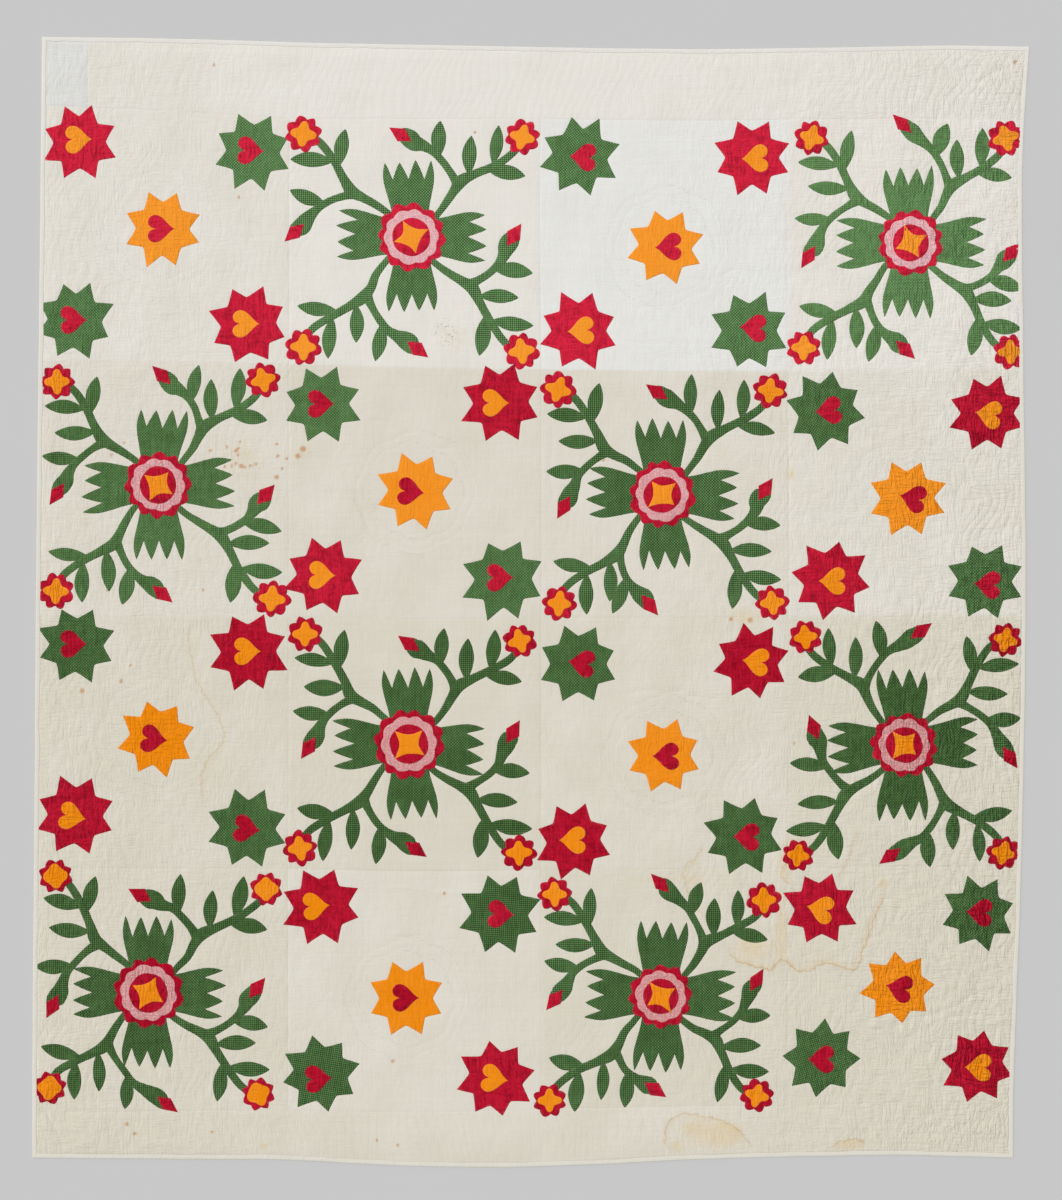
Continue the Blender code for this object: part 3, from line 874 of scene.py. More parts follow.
def star_patches(star, rng):
    """A star and the heart on it."""
    size = star.percent / 100 * (1 + 0.012 * rng.normal())
    outline = pointed_outline(rng, STAR_POINTS, STAR_TIP * size, STAR_NOTCH * size, 0.03, 0.03, 1.6)
    heart = heart_outline(rng)
    heart_cloth = "orange" if star.cloth == "red" else "red"
    star_shape = turned_shape(fan(outline, (0, 0)), star.turn_deg)
    heart_shape = turned_shape(fan(heart, (5, 0)), star.heart_deg)
    heart_at = (star.x_mm + star.heart_x_mm, star.y_mm + star.heart_y_mm)
    return [
        Patch(star.cloth, "star", *at_place(star_shape, star.x_mm, star.y_mm), star.turn_deg, rng.normal()),
        Patch(heart_cloth, "heart", *at_place(heart_shape, *heart_at), star.heart_deg, rng.normal()),
    ]


def blossom_shapes(rng, rose):
    """The small flower's disc and its four-lobed middle, as (cloth, sort, shape)."""
    size = rose.blossom_mm / BLOSSOM * (1 + 0.03 * rng.normal())
    point, waist = rng.uniform(1.15, 1.8), BLOSSOM_CROSS_WAIST
    if rose.block == SQUARE_BLOSSOMS:
        point, waist = 1.05, 1.3 * waist
    ring = scallop_outline(rng, BLOSSOM * size, 8, 0.23, point)
    cross = cross_outline(rng, BLOSSOM_CROSS * size, waist * size)
    return [
        ("red", "blossom", turned_shape(fan(ring, (0, 0)), rng.uniform(-20, 20))),
        ("orange", "cross", turned_shape(fan(cross, (0, 0)), 12 * rng.normal())),
    ]


def swung(points, spin, about=FORK):
    """FORK + (about - FORK) q + (z - about) q / |q|: about moves by the whole of q, and the rest only turns.

    Points are taken as z = u + v j. The number q is spin, which turns and stretches about the fork.
    """
    z = points[:, 0] + 1j * points[:, 1]
    own = spin if about == FORK else spin / abs(spin)
    z = FORK + (about - FORK) * spin + (z - about) * own
    return np.stack([z.real, z.imag], axis=-1)


def arm_patches(rose, rng, diagonal, reach, swing, leaves, bud_place):
    """One diagonal arm: its leaves, branch, stem, bud and blossom."""
    grow = reach / ARM_REACH
    spin = (complex(*bud_place) / grow - FORK) / (BUD_MIDDLE - FORK)
    parts = []
    for leaf in leaves:
        tip = np.array([leaf.tip_u, leaf.tip_v]) + rng.normal(scale=2.5, size=2)
        outline = leaf_outline(rng, leaf._replace(tip_u=tip[0], tip_v=tip[1]))
        if leaf.name == "side":
            outline = swung(outline, spin, complex(leaf.base_u, leaf.base_v))
        parts.append(("green", "leaf", fan(outline, outline.mean(axis=0))))
    branch = np.array(BRANCH)
    branch[:, :2] = swung(branch[:, :2], spin)
    parts.append(("green", "branch", ribbon(branch, rng)))
    parts.append(("green", "stem", ribbon(STEM, rng)))
    bud = swung(diamond_outline(BUD), spin, BUD_MIDDLE)
    parts.append(("red", "bud", fan(bud, bud.mean(axis=0))))
    made = []
    shade = rng.normal()
    for cloth, sort, (points, faces, outline) in parts:
        points, outline = points * (grow, rose.hand), outline * (grow, rose.hand)
        if rose.hand < 0:
            faces, outline = faces[:, [1, 0, 3, 2]], outline[::-1]
        shape = turned_shape((points, faces, outline), diagonal + swing)
        made.append(Patch(cloth, sort, *at_place(shape, rose.x_mm, rose.y_mm), diagonal, shade))
    x, y = turned(np.array([reach, 0.0]), diagonal + swing) + (rose.x_mm, rose.y_mm)
    for cloth, sort, shape in blossom_shapes(rng, rose):
        made.append(Patch(cloth, sort, *at_place(shape, x, y), diagonal, rng.normal()))
    return made


def rose_patches(rose, rng):
    """A whole rose block: four coxcombs and arms, and the rose's discs over their ends."""
    made = []
    shade = rng.normal()
    for quarter in (0, 90, 180, 270):
        shape = turned_shape(coxcomb(rng), quarter + 1.5 * rng.normal())
        grain_shade = shade + 0.4 * rng.normal()
        made.append(Patch("green", "coxcomb", *at_place(shape, rose.x_mm, rose.y_mm), quarter, grain_shade))
    for diagonal, name in ((45, "ne"), (135, "nw"), (225, "sw"), (315, "se")):
        reach, swing = getattr(rose, name + "_reach"), getattr(rose, name + "_swing")
        leaves = [leaf for leaf in LEAVES if (rose.block, name, leaf.name) != MISSING_LEAF]
        made += arm_patches(rose, rng, diagonal, reach, swing, leaves, BUDS[rose.block][name])
    disc, ring, eye = (rose.disc_mm * share for share in (1, RING_SHARE, EYE_SHARE))
    tip = rose.disc_mm * SQUARE_SHARE
    discs = (
        ("red", "disc", scallop_outline(rng, disc, 12, 0.135, 1.4), rng.uniform(0, 25)),
        ("pink", "ring", scallop_outline(rng, ring, 10, 0.085, 1.7), rng.uniform(0, 25)),
        ("red", "eye", scallop_outline(rng, eye, 6, 0.02, 2.0), rng.uniform(0, 25)),
        ("orange", "rose_cross", pointed_outline(rng, 4, tip, 0.52 * tip, 0.30, 0.07, 4.0), rose.square_deg),
    )
    for cloth, sort, outline, turn in discs:
        shape = turned_shape(fan(outline, (0, 0)), turn)
        made.append(Patch(cloth, sort, *at_place(shape, rose.x_mm, rose.y_mm), 0, rng.normal()))
    return made


@functools.cache
def all_patches():
    """The patches of every block, by block name. Each motif has its own seed."""
    blocks = {}
    for i, star in enumerate(STARS):
        blocks.setdefault(star.block, []).extend(star_patches(star, np.random.default_rng(100 + i)))
    for i, rose in enumerate(ROSES):
        blocks[rose.block] = rose_patches(rose, np.random.default_rng(500 + i))
    return blocks


def distance_to_outline(points, outline):
    """Distance from each point to the nearest stretch of a closed outline."""
    a, b = outline, np.roll(outline, -1, axis=0)
    way = b - a
    length2 = np.maximum((way**2).sum(axis=1), 1e-12)
    off = points[:, None] - a
    f = np.clip((off * way).sum(axis=2) / length2, 0, 1)
    return np.hypot(*np.moveaxis(off - f[..., None] * way, 2, 0)).min(axis=1)


def patch_height(patch, rim, sizes):
    """The ground's height plus the patch's lift, reached within a thread or two of its turned-under rim."""
    ground = cloth_height(*patch.points.T, sizes)
    lift = LIFT[patch.sort] * sizes.patch_lift
    raised = (lift + SUNK_RIM) * (1 - np.exp(-rim / RIM_ROUND)) - SUNK_RIM
    full = fullness(*shares(*patch.points.T))
    return ground + raised * full + UNDER_BINDING * lift * (1 - full)


def inside_outline(x, y, outline):
    """Whether each place is inside a closed outline: a ray to the right crosses it an odd number of times."""
    a, b = outline, np.roll(outline, -1, axis=0)
    x, y = x[..., None], y[..., None]
    spans = (a[:, 1] > y) != (b[:, 1] > y)
    rise = np.where(a[:, 1] == b[:, 1], 1.0, b[:, 1] - a[:, 1])
    crossing = a[:, 0] + (y - a[:, 1]) * (b[:, 0] - a[:, 0]) / rise
    return (spans & (x < crossing)).sum(axis=-1) % 2 == 1


FIELD_CELL = 3.0 * MM
FIELD_LOW, FIELD_HIGH = np.array([-1.04, -1.18]), np.array([1.04, 1.18])  # corners past the quilt's own
FIELD_REACH = 0.05  # distances beyond this are told as this
FAR = 9.0  # farther than any place on the quilt


@functools.cache
def outline_field():
    """Distance to the nearest outline of a patch on the ground, negative inside, on a grid.

    It is found by jump flooding: each cell keeps the nearest outline point found so far and asks the cells 8,
    4, 2 and 1 away for theirs.
    """
    ny, nx = np.ceil((FIELD_HIGH - FIELD_LOW)[::-1] / FIELD_CELL).astype(int)
    y, x = np.mgrid[0:ny, 0:nx] * FIELD_CELL
    x, y = x + FIELD_LOW[0], y + FIELD_LOW[1]
    near_x, near_y = np.full((ny, nx), FAR), np.full((ny, nx), FAR)
    covered = np.zeros((ny, nx), bool)
    for patch in (p for block in all_patches().values() for p in block if p.sort in ON_GROUND):
        edge = np.concatenate([patch.outline, patch.outline[:1]])
        f = np.linspace(0, 1, 5)[:-1, None, None]
        dense = (edge[:-1] * (1 - f) + edge[1:] * f).reshape(-1, 2)
        column, row = np.rint((dense - FIELD_LOW) / FIELD_CELL).astype(int).T
        near_x[row, column], near_y[row, column] = dense.T
        box = slice(row.min(), row.max() + 1), slice(column.min(), column.max() + 1)
        covered[box] |= inside_outline(x[box], y[box], patch.outline)
    for step in (8, 4, 2, 1, 1):
        for dy in (-step, 0, step):
            for dx in (-step, 0, step):
                there_x = np.roll(near_x, (dy, dx), (0, 1))
                there_y = np.roll(near_y, (dy, dx), (0, 1))
                closer = np.hypot(there_x - x, there_y - y) < np.hypot(near_x - x, near_y - y)
                near_x = np.where(closer, there_x, near_x)
                near_y = np.where(closer, there_y, near_y)
    distance = np.minimum(np.hypot(near_x - x, near_y - y), FIELD_REACH)
    return np.where(covered, -distance, distance)


def outline_distance(x, y):
    """The outline field read between its cells."""
    field = outline_field()
    column, row = (x - FIELD_LOW[0]) / FIELD_CELL, (y - FIELD_LOW[1]) / FIELD_CELL
    c = np.clip(column.astype(int), 0, field.shape[1] - 2)
    r = np.clip(row.astype(int), 0, field.shape[0] - 2)
    f, g = np.clip(column - c, 0, 1), np.clip(row - r, 0, 1)
    low_row = field[r, c] * (1 - f) + field[r, c + 1] * f
    high_row = field[r + 1, c] * (1 - f) + field[r + 1, c + 1] * f
    return low_row * (1 - g) + high_row * g


# ---------------------------------------------------------------- meshes
LEAST_AREA = 1e-11  # twice the area, in square metres, of a face that is left out


def new_piece(name, points, faces, attributes, material, slot, replaced):
    """A mesh object from points (n, 3), quads (m, 4) and per-point attributes, riding on the quilt.

    A quad whose last two corners are alike is made a triangle. Faces with no area are left out.
    """
    corners = points[faces]
    area = np.linalg.norm(np.cross(corners[:, 2] - corners[:, 0], corners[:, 3] - corners[:, 1]), axis=1)
    area += np.linalg.norm(np.cross(corners[:, 1] - corners[:, 0], corners[:, 2] - corners[:, 0]), axis=1)
    faces = faces[area > LEAST_AREA]
    keep = np.ones(faces.shape, bool)
    keep[:, 3] = faces[:, 3] != faces[:, 2]
    used, loops = np.unique(faces[keep], return_inverse=True)
    mesh = bpy.data.meshes.new(name)
    mesh.vertices.add(len(used))
    mesh.vertices.foreach_set("co", points[used].astype(np.float32).ravel())
    mesh.loops.add(keep.sum())
    mesh.loops.foreach_set("vertex_index", loops.ravel().astype(np.int32))
    totals = keep.sum(axis=1).astype(np.int32)
    mesh.polygons.add(len(faces))
    mesh.polygons.foreach_set("loop_start", np.concatenate([[0], np.cumsum(totals)[:-1]]).astype(np.int32))
    mesh.polygons.foreach_set("loop_total", totals)
    mesh.update(calc_edges=True)
    mesh.validate()
    for key, values in attributes.items():
        values = np.asarray(values, np.float32)[used]
        kind = "FLOAT" if values.ndim == 1 else "FLOAT_VECTOR"
        layer = mesh.attributes.new(key, kind, "POINT")
        layer.data.foreach_set("value" if kind == "FLOAT" else "vector", values.ravel())
    mesh.shade_smooth()
    mesh.materials.append(material)
    piece = bpy.data.objects.new(name, mesh)
    bpy.context.scene.collection.objects.link(piece)
    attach(piece, BODY)
    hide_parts(replaced)
    return piece


def vectors(*parts):
    """Three arrays as one of vectors."""
    return np.stack(np.broadcast_arrays(*parts), axis=-1)


# ---------------------------------------------------------------- finishes
STITCH_PITCH = 5.0 * MM  # of the quilting
WHIP_PITCH = 4.0 * MM  # of the stitches that hold the binding
BINDING_STITCHED = 20.6 * MM  # across the strip, from its inner edge underneath to that on top
BINDING_TURN = 11.8 * MM  # across the strip, to the fold at the quilt's edge
THREAD_PITCH = 0.8 * MM
PRINT_PITCH = 4.2 * MM  # of the green's check
PRINT_BLACK = (0.018, 0.042, 0.016, 1.0)
RUST = (0.54, 0.30, 0.15, 1.0)
TIDE = (0.56, 0.39, 0.20, 1.0)
WASH = (0.70, 0.57, 0.36, 1.0)
SPECK = (0.28, 0.26, 0.22, 1.0)
WHITE = (1.0, 1.0, 1.0)

# Half widths of lines, and how high each thing stands in a finish's relief.
GROOVE_HALF = 3.6 * MM
SEAM_HALF = 0.8 * MM
FOLD_HALF = 1.0 * MM
RIM_HALF = 1.1 * MM
TIDE_HALF = 2.3 * MM
MUSLIN_WEAVE = 0.06 * MM
DYED_WEAVE = 0.08 * MM
BINDING_WEAVE = 0.07 * MM
BACKING_WEAVE = 0.08 * MM
SLUB_RELIEF = 0.05 * MM
GROOVE_RELIEF = -0.56 * MM
THREAD_RELIEF = 0.08 * MM
FOLD_RELIEF = -0.30 * MM


class Value:
    """A number that a shader works out: each Python operator on it adds the Math node that does it."""

    def __init__(self, finish, socket):
        self.finish, self.socket = finish, socket

    def __add__(self, other):
        return self.finish.math("ADD", self, other)

    def __sub__(self, other):
        return self.finish.math("SUBTRACT", self, other)

    def __rsub__(self, other):
        return self.finish.math("SUBTRACT", other, self)

    def __mul__(self, other):
        return self.finish.math("MULTIPLY", self, other)

    def __truediv__(self, other):
        return self.finish.math("DIVIDE", self, other)

    def __rtruediv__(self, other):
        return self.finish.math("DIVIDE", other, self)

    def __pow__(self, other):
        return self.finish.math("POWER", self, other)

    def __abs__(self):
        return self.finish.math("ABSOLUTE", self)

    def __neg__(self):
        return self * -1.0

    __radd__, __rmul__ = __add__, __mul__


class Finish:
    """A material with one Principled shader, and the one method that adds any other node."""

    def __init__(self, name, roughness, sheen):
        self.material = bpy.data.materials.new(name)
        self.material.use_nodes = True
        self.nodes, self.links = self.material.node_tree.nodes, self.material.node_tree.links
        self.shader = self.nodes["Principled BSDF"]
        self.shader.inputs["Roughness"].default_value = roughness
        self.shader.inputs["Sheen Weight"].default_value = sheen
        self.shader.inputs["Sheen Roughness"].default_value = 0.45
        self.shader.inputs["Specular IOR Level"].default_value = 0.05

    def put(self, socket, value):
        """Link a Value or a socket to a socket, or set a plain number or tuple on it."""
        if isinstance(value, Value):
            value = value.socket
        if isinstance(value, bpy.types.NodeSocket):
            self.links.new(value, socket)
        else:
            socket.default_value = value

    def add(self, kind, settings, inputs, out=0):
        """Add a node; its settings come first, then its sockets by identifier.

        Returns the output named or numbered out, as a Value if it is a number.
        """
        node = self.nodes.new("ShaderNode" + kind)
        for name, setting in settings.items():
            setattr(node, name, setting)
        for name, value in inputs.items():
            self.put(next(s for s in node.inputs if s.identifier == name), value)
        found = node.outputs[out]
        return Value(self, found) if found.type == "VALUE" else found

    def math(self, operation, *numbers):
        """Math on one number or more."""
        return self.add("Math", {"operation": operation}, dict(zip(("Value", "Value_001"), numbers)))

    def vector(self, operation, a, b):
        """Vector Math on two vectors."""
        return self.add("VectorMath", {"operation": operation}, {"Vector": a, "Vector_001": b})

    def parts(self, vector):
        """The x, y and z of a vector."""
        x = self.add("SeparateXYZ", {}, {"Vector": vector})
        return [Value(self, socket) for socket in x.socket.node.outputs]

    def attribute(self, name):
        """A vector attribute of the mesh."""
        return self.add("Attribute", {"attribute_name": name}, {}, "Vector")

    def mix(self, factor, a, b, blend="MIX"):
        """Colour a turned towards colour b."""
        settings = {"data_type": "RGBA", "blend_type": blend, "clamp_factor": True}
        colours = {"Factor_Float": factor, "A_Color": a, "B_Color": b}
        return self.add("Mix", settings, colours, 2)

    def ramp(self, value, low, high):
        """0 below low and 1 above high, smooth between. low may be above high."""
        settings = {"interpolation_type": "SMOOTHSTEP"}
        if low > high:
            return 1.0 - self.ramp(value, high, low)
        return self.add("MapRange", settings, {"Value": value, "From Min": low, "From Max": high})

    def noise(self, at, size, detail=2.0):
        """Noise with features of size = (x, y) metres; from about 0.2 to 0.8, and 0.5 on average."""
        stretched = self.vector("MULTIPLY", at, (1 / size[0], 1 / size[1], 0.0))
        return self.add("TexNoise", {}, {"Vector": stretched, "Scale": 1.0, "Detail": detail})

    def cells(self, at, size, randomness):
        """Distance to the middle of the nearest cell of a net with cells of that size, in cells."""
        inputs = {"Vector": at, "Scale": 1 / size, "Randomness": randomness}
        return self.add("TexVoronoi", {"feature": "F1"}, inputs)

    def swirl(self, at, size):
        """A vector of noise, each part from about -0.3 to 0.3."""
        stretched = self.vector("MULTIPLY", at, (1 / size, 1 / size, 0.0))
        colour = self.add("TexNoise", {}, {"Vector": stretched, "Scale": 1.0, "Detail": 1.0}, "Color")
        return self.vector("SUBTRACT", colour, (0.5, 0.5, 0.5))

    def line(self, distance, width):
        """1 on a line and falling off to 0 with the distance: 1 / (1 + (d / w)^2)^2."""
        share = distance / width
        return 1.0 / (1.0 + share * share) ** 2.0

    def finish(self, colour, height):
        """Connect the colour and a height in metres, which is bumped. Returns the material."""
        self.put(self.shader.inputs["Base Color"], colour)
        normal = self.add("Bump", {}, {"Strength": 1.0, "Distance": 1.0, "Height": height})
        self.put(self.shader.inputs["Normal"], normal)
        return self.material


def threads(cloth, at, pitch):
    """Plain weave: two noises, each drawn out along its own threads. About 0 on average, and within 0.3."""
    upright = cloth.noise(at, (pitch, pitch * 22), 1.0)
    level = cloth.noise(at, (pitch * 22, pitch), 1.0)
    return (upright + level) * 0.5 - 0.5


def slubs(cloth, at):
    """Thicker threads here and there, some millimetres apart: 0 to 1 on thin upright and level lines."""
    upright = cloth.ramp(cloth.noise(at, (0.0016, 0.035), 1.0), 0.56, 0.74)
    level = cloth.ramp(cloth.noise(at, (0.040, 0.0016), 1.0), 0.58, 0.76)
    return upright * 0.6 + level * 0.5


def fine_wrinkles(cloth, at, level_share=1.0):
    """Height in metres of washed cotton's creases: upright pleats in some parts and level ones in others.

    Both are noise drawn out along the pleats. Sharper creases run along the mid level of a coarser noise, and
    the cloth puckers between. level_share scales the level pleats.
    """
    bent = cloth.vector("ADD", at, cloth.vector("MULTIPLY", cloth.swirl(at, 0.045), (0.013, 0.013, 0.0)))
    patchy = cloth.ramp(cloth.noise(at, (0.06, 0.08), 2.0), 0.28, 0.72)
    upright = cloth.noise(bent, (0.0046, 0.045), 1.0) - 0.5
    level = cloth.noise(bent, (0.050, 0.0048), 1.0) - 0.5
    sharp_upright = cloth.line(cloth.noise(bent, (0.009, 0.042), 1.0) - 0.5, 0.045)
    sharp_level = cloth.line(cloth.noise(bent, (0.048, 0.010), 1.0) - 0.5, 0.045)
    up_and_down = upright * (patchy * 0.62 + 0.22) - sharp_upright * (patchy * 0.20 + 0.07)
    across = level * (0.68 - patchy * 0.50) - sharp_level * (0.24 - patchy * 0.14)
    puckers = cloth.noise(bent, (0.013, 0.018), 2.0) - 0.5
    soft = cloth.noise(bent, (0.0050, 0.0065), 1.0) - 0.5
    return (up_and_down + across * level_share + puckers * 0.60 + soft * 0.16) * MM


def tint(colour, factors):
    """A colour times a factor for each channel."""
    return (*(c * f for c, f in zip(colour, factors)), 1.0)


def stitches(cloth, quilt, spacing):
    """The quilting: how near the line is, 0 to 1, and the stitches' own mask, from (phase, along, firm)."""
    phase, along, firm = cloth.parts(quilt)
    whole = cloth.math("ROUND", phase)
    off = abs(phase - whole) * spacing
    groove = cloth.line(off, GROOVE_HALF) * firm
    run = along / STITCH_PITCH
    dash = cloth.ramp(abs(run - cloth.math("ROUND", run)), 0.32, 0.22)
    thread = cloth.ramp(off, 0.00045, 0.00025) * dash * cloth.ramp(firm, 0.1, 0.3)
    return groove, thread


def stained(cloth, at, shown, fox):
    """The colour with washes, tide lines, grey specks and rust spots over it, their rims ragged by noise."""
    tide, tide_firm, wash = cloth.parts(cloth.attribute("stain"))
    dirt = cloth.noise(at, (0.004, 0.004), 2.0)
    wavy = cloth.noise(at, (0.012, 0.012), 3.0) - 0.5
    drawn = tide + wavy * 0.016
    ring = cloth.line(drawn, TIDE_HALF) * tide_firm * (dirt * 0.9 + 0.45)
    inner = cloth.ramp(drawn, -0.001, 0.003) * cloth.ramp(drawn, 0.018, 0.002) * tide_firm
    ragged = cloth.ramp(wash + wavy * 0.55, 0.12, 0.62)
    shown = cloth.mix(ragged * 0.62 + inner * 0.30, shown, WASH)
    shown = cloth.mix(ring * 0.80, shown, TIDE)
    specks = cloth.ramp(cloth.noise(at, (0.0042, 0.0042), 1.0), 0.60, 0.68) * cloth.ramp(-fox, 0.25, 0.7)
    shown = cloth.mix(specks * 0.8, shown, SPECK)
    spot = cloth.ramp(fox + (dirt - 0.5) * 0.5, 0.30, 0.85)
    return cloth.mix(spot * 0.85, shown, RUST)


def muslin(name, colour, yellowed, sizes):
    """Washed unbleached cotton: threads, mottling, seams, quilting and creases with painted shade in their
    troughs, tide lines, washes and foxing.

    Its colour runs from colour to yellowed with the tone attribute.
    """
    cloth = Finish(name, 0.92, 0.0)
    at = cloth.add("TexCoord", {}, {}, "Object")
    seam_off, lively, tone = cloth.parts(cloth.attribute("seam"))
    weave = threads(cloth, at, THREAD_PITCH)
    slub = slubs(cloth, at)
    streak = (cloth.noise(at, (0.006, 0.22), 2.0) + cloth.noise(at, (0.22, 0.007), 2.0)) * 0.5 - 0.5
    mottle = cloth.noise(at, (0.11, 0.14), 3.0) - 0.5
    shown = cloth.mix(tone + mottle * 0.8, (*colour, 1.0), (*yellowed, 1.0))
    shown = cloth.mix(streak * 1.6 + 0.3, shown, (0.95, 0.935, 0.90, 1.0), "MULTIPLY")
    shown = cloth.mix(weave * 0.9 + slub * 0.35 + 0.2, shown, (0.91, 0.89, 0.85, 1.0), "MULTIPLY")
    groove, thread = stitches(cloth, cloth.attribute("quilt"), sizes.quilting_spacing)
    groove_2, thread_2 = stitches(cloth, cloth.attribute("crossing"), 1.6 * sizes.quilting_spacing)
    groove, thread = cloth.math("MAXIMUM", groove, groove_2), cloth.math("MAXIMUM", thread, thread_2)
    crease, crease_firm, fox = cloth.parts(cloth.attribute("crease"))
    fold = cloth.line(crease, FOLD_HALF) * crease_firm
    shown = cloth.mix(cloth.line(seam_off, SEAM_HALF) * 0.13, shown, tint(colour, (0.80, 0.76, 0.70)))
    # Painted shade: the troughs of the quilting lines and of the creases are darkened in the colour.
    shown = cloth.mix(groove * groove * 0.16 + fold * 0.5, shown, tint(colour, (0.72, 0.68, 0.62)))
    shown = cloth.mix(thread * 0.15, shown, tint(colour, (1.06, 1.05, 1.03)))
    shown = stained(cloth, at, shown, fox)
    pulled = groove * GROOVE_RELIEF + thread * THREAD_RELIEF + fold * FOLD_RELIEF
    woven = weave * MUSLIN_WEAVE + slub * SLUB_RELIEF
    return cloth.finish(shown, woven + pulled + fine_wrinkles(cloth, at) * (lively * sizes.wrinkles))


def print_grid(cloth, at, pitch):
    """A fine slanting check: 1 on thin crossing lines, whose spacing is the pitch, and 0 between."""
    x, y, _ = cloth.parts(at)
    lines = []
    for across in (x + y, x - y):
        run = across / (pitch * np.sqrt(2))
        lines.append(cloth.ramp(abs(run - cloth.math("ROUND", run)), 0.20, 0.08))
    return cloth.math("MAXIMUM", *lines)


def dyed(name, light, deep, crease_shade_and_grain, sizes, printed=None):
    """A patch's cotton: two shades of dye that drift over a patch and from patch to patch, threads, a worn
    rim, painted shade along the rim and painted shade in the hollows of its creases.

    The fourth argument is how much darker the painted shade makes the hollows of its creases than the ridges.
    It also sets how strongly a fine grain darkens the cloth. printed(cloth, at, colour) may lay a print over
    the colour.
    """
    cloth = Finish(name, 0.86, 0.0)
    at = cloth.attribute("grain")
    place_on_quilt = cloth.add("TexCoord", {}, {}, "Object")
    rim, shade, lively = cloth.parts(cloth.attribute("rim"))
    weave = threads(cloth, at, THREAD_PITCH)
    drift = cloth.noise(at, (0.035, 0.05), 2.0) - 0.5
    streak = cloth.noise(place_on_quilt, (0.0045, 0.09), 2.0) - 0.5
    shown = cloth.mix(drift * 0.8 + streak * 0.7 + shade * 0.32 + 0.5, (*light, 1.0), (*deep, 1.0))
    if printed:
        shown = printed(cloth, at, shown)
    shown = cloth.mix(weave * 1.0 + 0.35, shown, (0.84, 0.84, 0.84, 1.0), "MULTIPLY")
    # Painted shade: a darker line along the rim, where the patch turns under.
    edge = cloth.line(rim, RIM_HALF)
    shown = cloth.mix(edge * 0.45, shown, (0.66, 0.66, 0.66, 1.0), "MULTIPLY")
    scuffed = cloth.ramp(cloth.noise(at, (0.010, 0.010), 2.0), 0.45, 0.75)
    worn = cloth.line(rim - 2 * RIM_HALF, RIM_HALF) * scuffed
    shown = cloth.mix(worn * 0.10, shown, (0.85, 0.78, 0.68, 1.0))
    creased = fine_wrinkles(cloth, place_on_quilt, 0.7)
    grainy = cloth.noise(place_on_quilt, (0.0028, 0.0065), 1.0)
    # Painted shade: the hollows of the fine creases are darkened in the colour, most on the red.
    painted_crease_shade = 0.05 - creased * (2.6 / MM)
    shown = cloth.mix(painted_crease_shade, shown, tint(WHITE, [1 - crease_shade_and_grain] * 3), "MULTIPLY")
    shown = cloth.mix(grainy * 2.4 - 0.7, shown, tint(WHITE, [1 - 0.55 * crease_shade_and_grain] * 3), "MULTIPLY")
    drawn_up = (lively * lively * 0.85 + 0.5) * (2.2 * sizes.wrinkles)
    return cloth.finish(shown, weave * DYED_WEAVE + creased * drawn_up)


def green_check(cloth, at, colour):
    """The green's print: a fine slanting check in near black, as strong as the third part of the grain."""
    _, _, strength = cloth.parts(at)
    faded = cloth.noise(at, (0.02, 0.02), 2.0)
    cover = print_grid(cloth, at, PRINT_PITCH) * (faded * 0.6 + 0.45) * strength
    return cloth.mix(cover, colour, PRINT_BLACK)


def pink_sprig(cloth, at, colour):
    """The pink's print: dots of deeper pink, a cell of a random net each, on a paler ground."""
    deep_dots = cloth.cells(at, 2.6 * MM, 0.75)
    dotted = cloth.mix(cloth.ramp(deep_dots, 0.42, 0.22) * 0.75, colour, (0.56, 0.115, 0.16, 1.0))
    pale_dots = cloth.cells(at, 4.9 * MM, 1.0)
    return cloth.mix(cloth.ramp(pale_dots, 0.30, 0.12) * 0.7, dotted, (0.90, 0.80, 0.76, 1.0))


def binding_cloth(name, colour, sizes):
    """Whiter cotton: threads, slight soiling, a slightly darker line along the fold, and whip stitches at its
    inner edge.
    """
    cloth = Finish(name, 0.9, 0.10)
    run, across, soiled = cloth.parts(cloth.attribute("grain"))
    at = cloth.attribute("grain")
    weave = threads(cloth, at, THREAD_PITCH)
    soil = cloth.noise(at, (0.05, 0.02), 3.0)
    shown = cloth.mix(soiled, (*colour, 1.0), tint(colour, (0.91, 0.89, 0.83)))
    shown = cloth.mix(soil * 1.4 - 0.4, shown, (0.92, 0.90, 0.84, 1.0), "MULTIPLY")
    shown = cloth.mix(weave * 0.9 + 0.3, shown, tint(colour, (0.90, 0.88, 0.85)))
    step = run / WHIP_PITCH + across * 60.0
    dash = cloth.ramp(abs(step - cloth.math("ROUND", step)), 0.16, 0.08)
    inner = cloth.ramp(across, BINDING_STITCHED - 0.0012, BINDING_STITCHED - 0.0002)
    thread = dash * inner
    fold = cloth.line(across - BINDING_TURN, 0.0012)
    shown = cloth.mix(fold * 0.12, shown, tint(colour, (0.84, 0.80, 0.73)))
    shown = cloth.mix(thread * 0.08, shown, tint(colour, (0.76, 0.74, 0.70)))
    pucker = cloth.noise(at, (0.006, 0.03), 2.0) - 0.5
    height = weave * BINDING_WEAVE + pucker * (0.70 * MM * sizes.wrinkles) - thread * (0.15 * MM)
    return cloth.finish(shown, height)


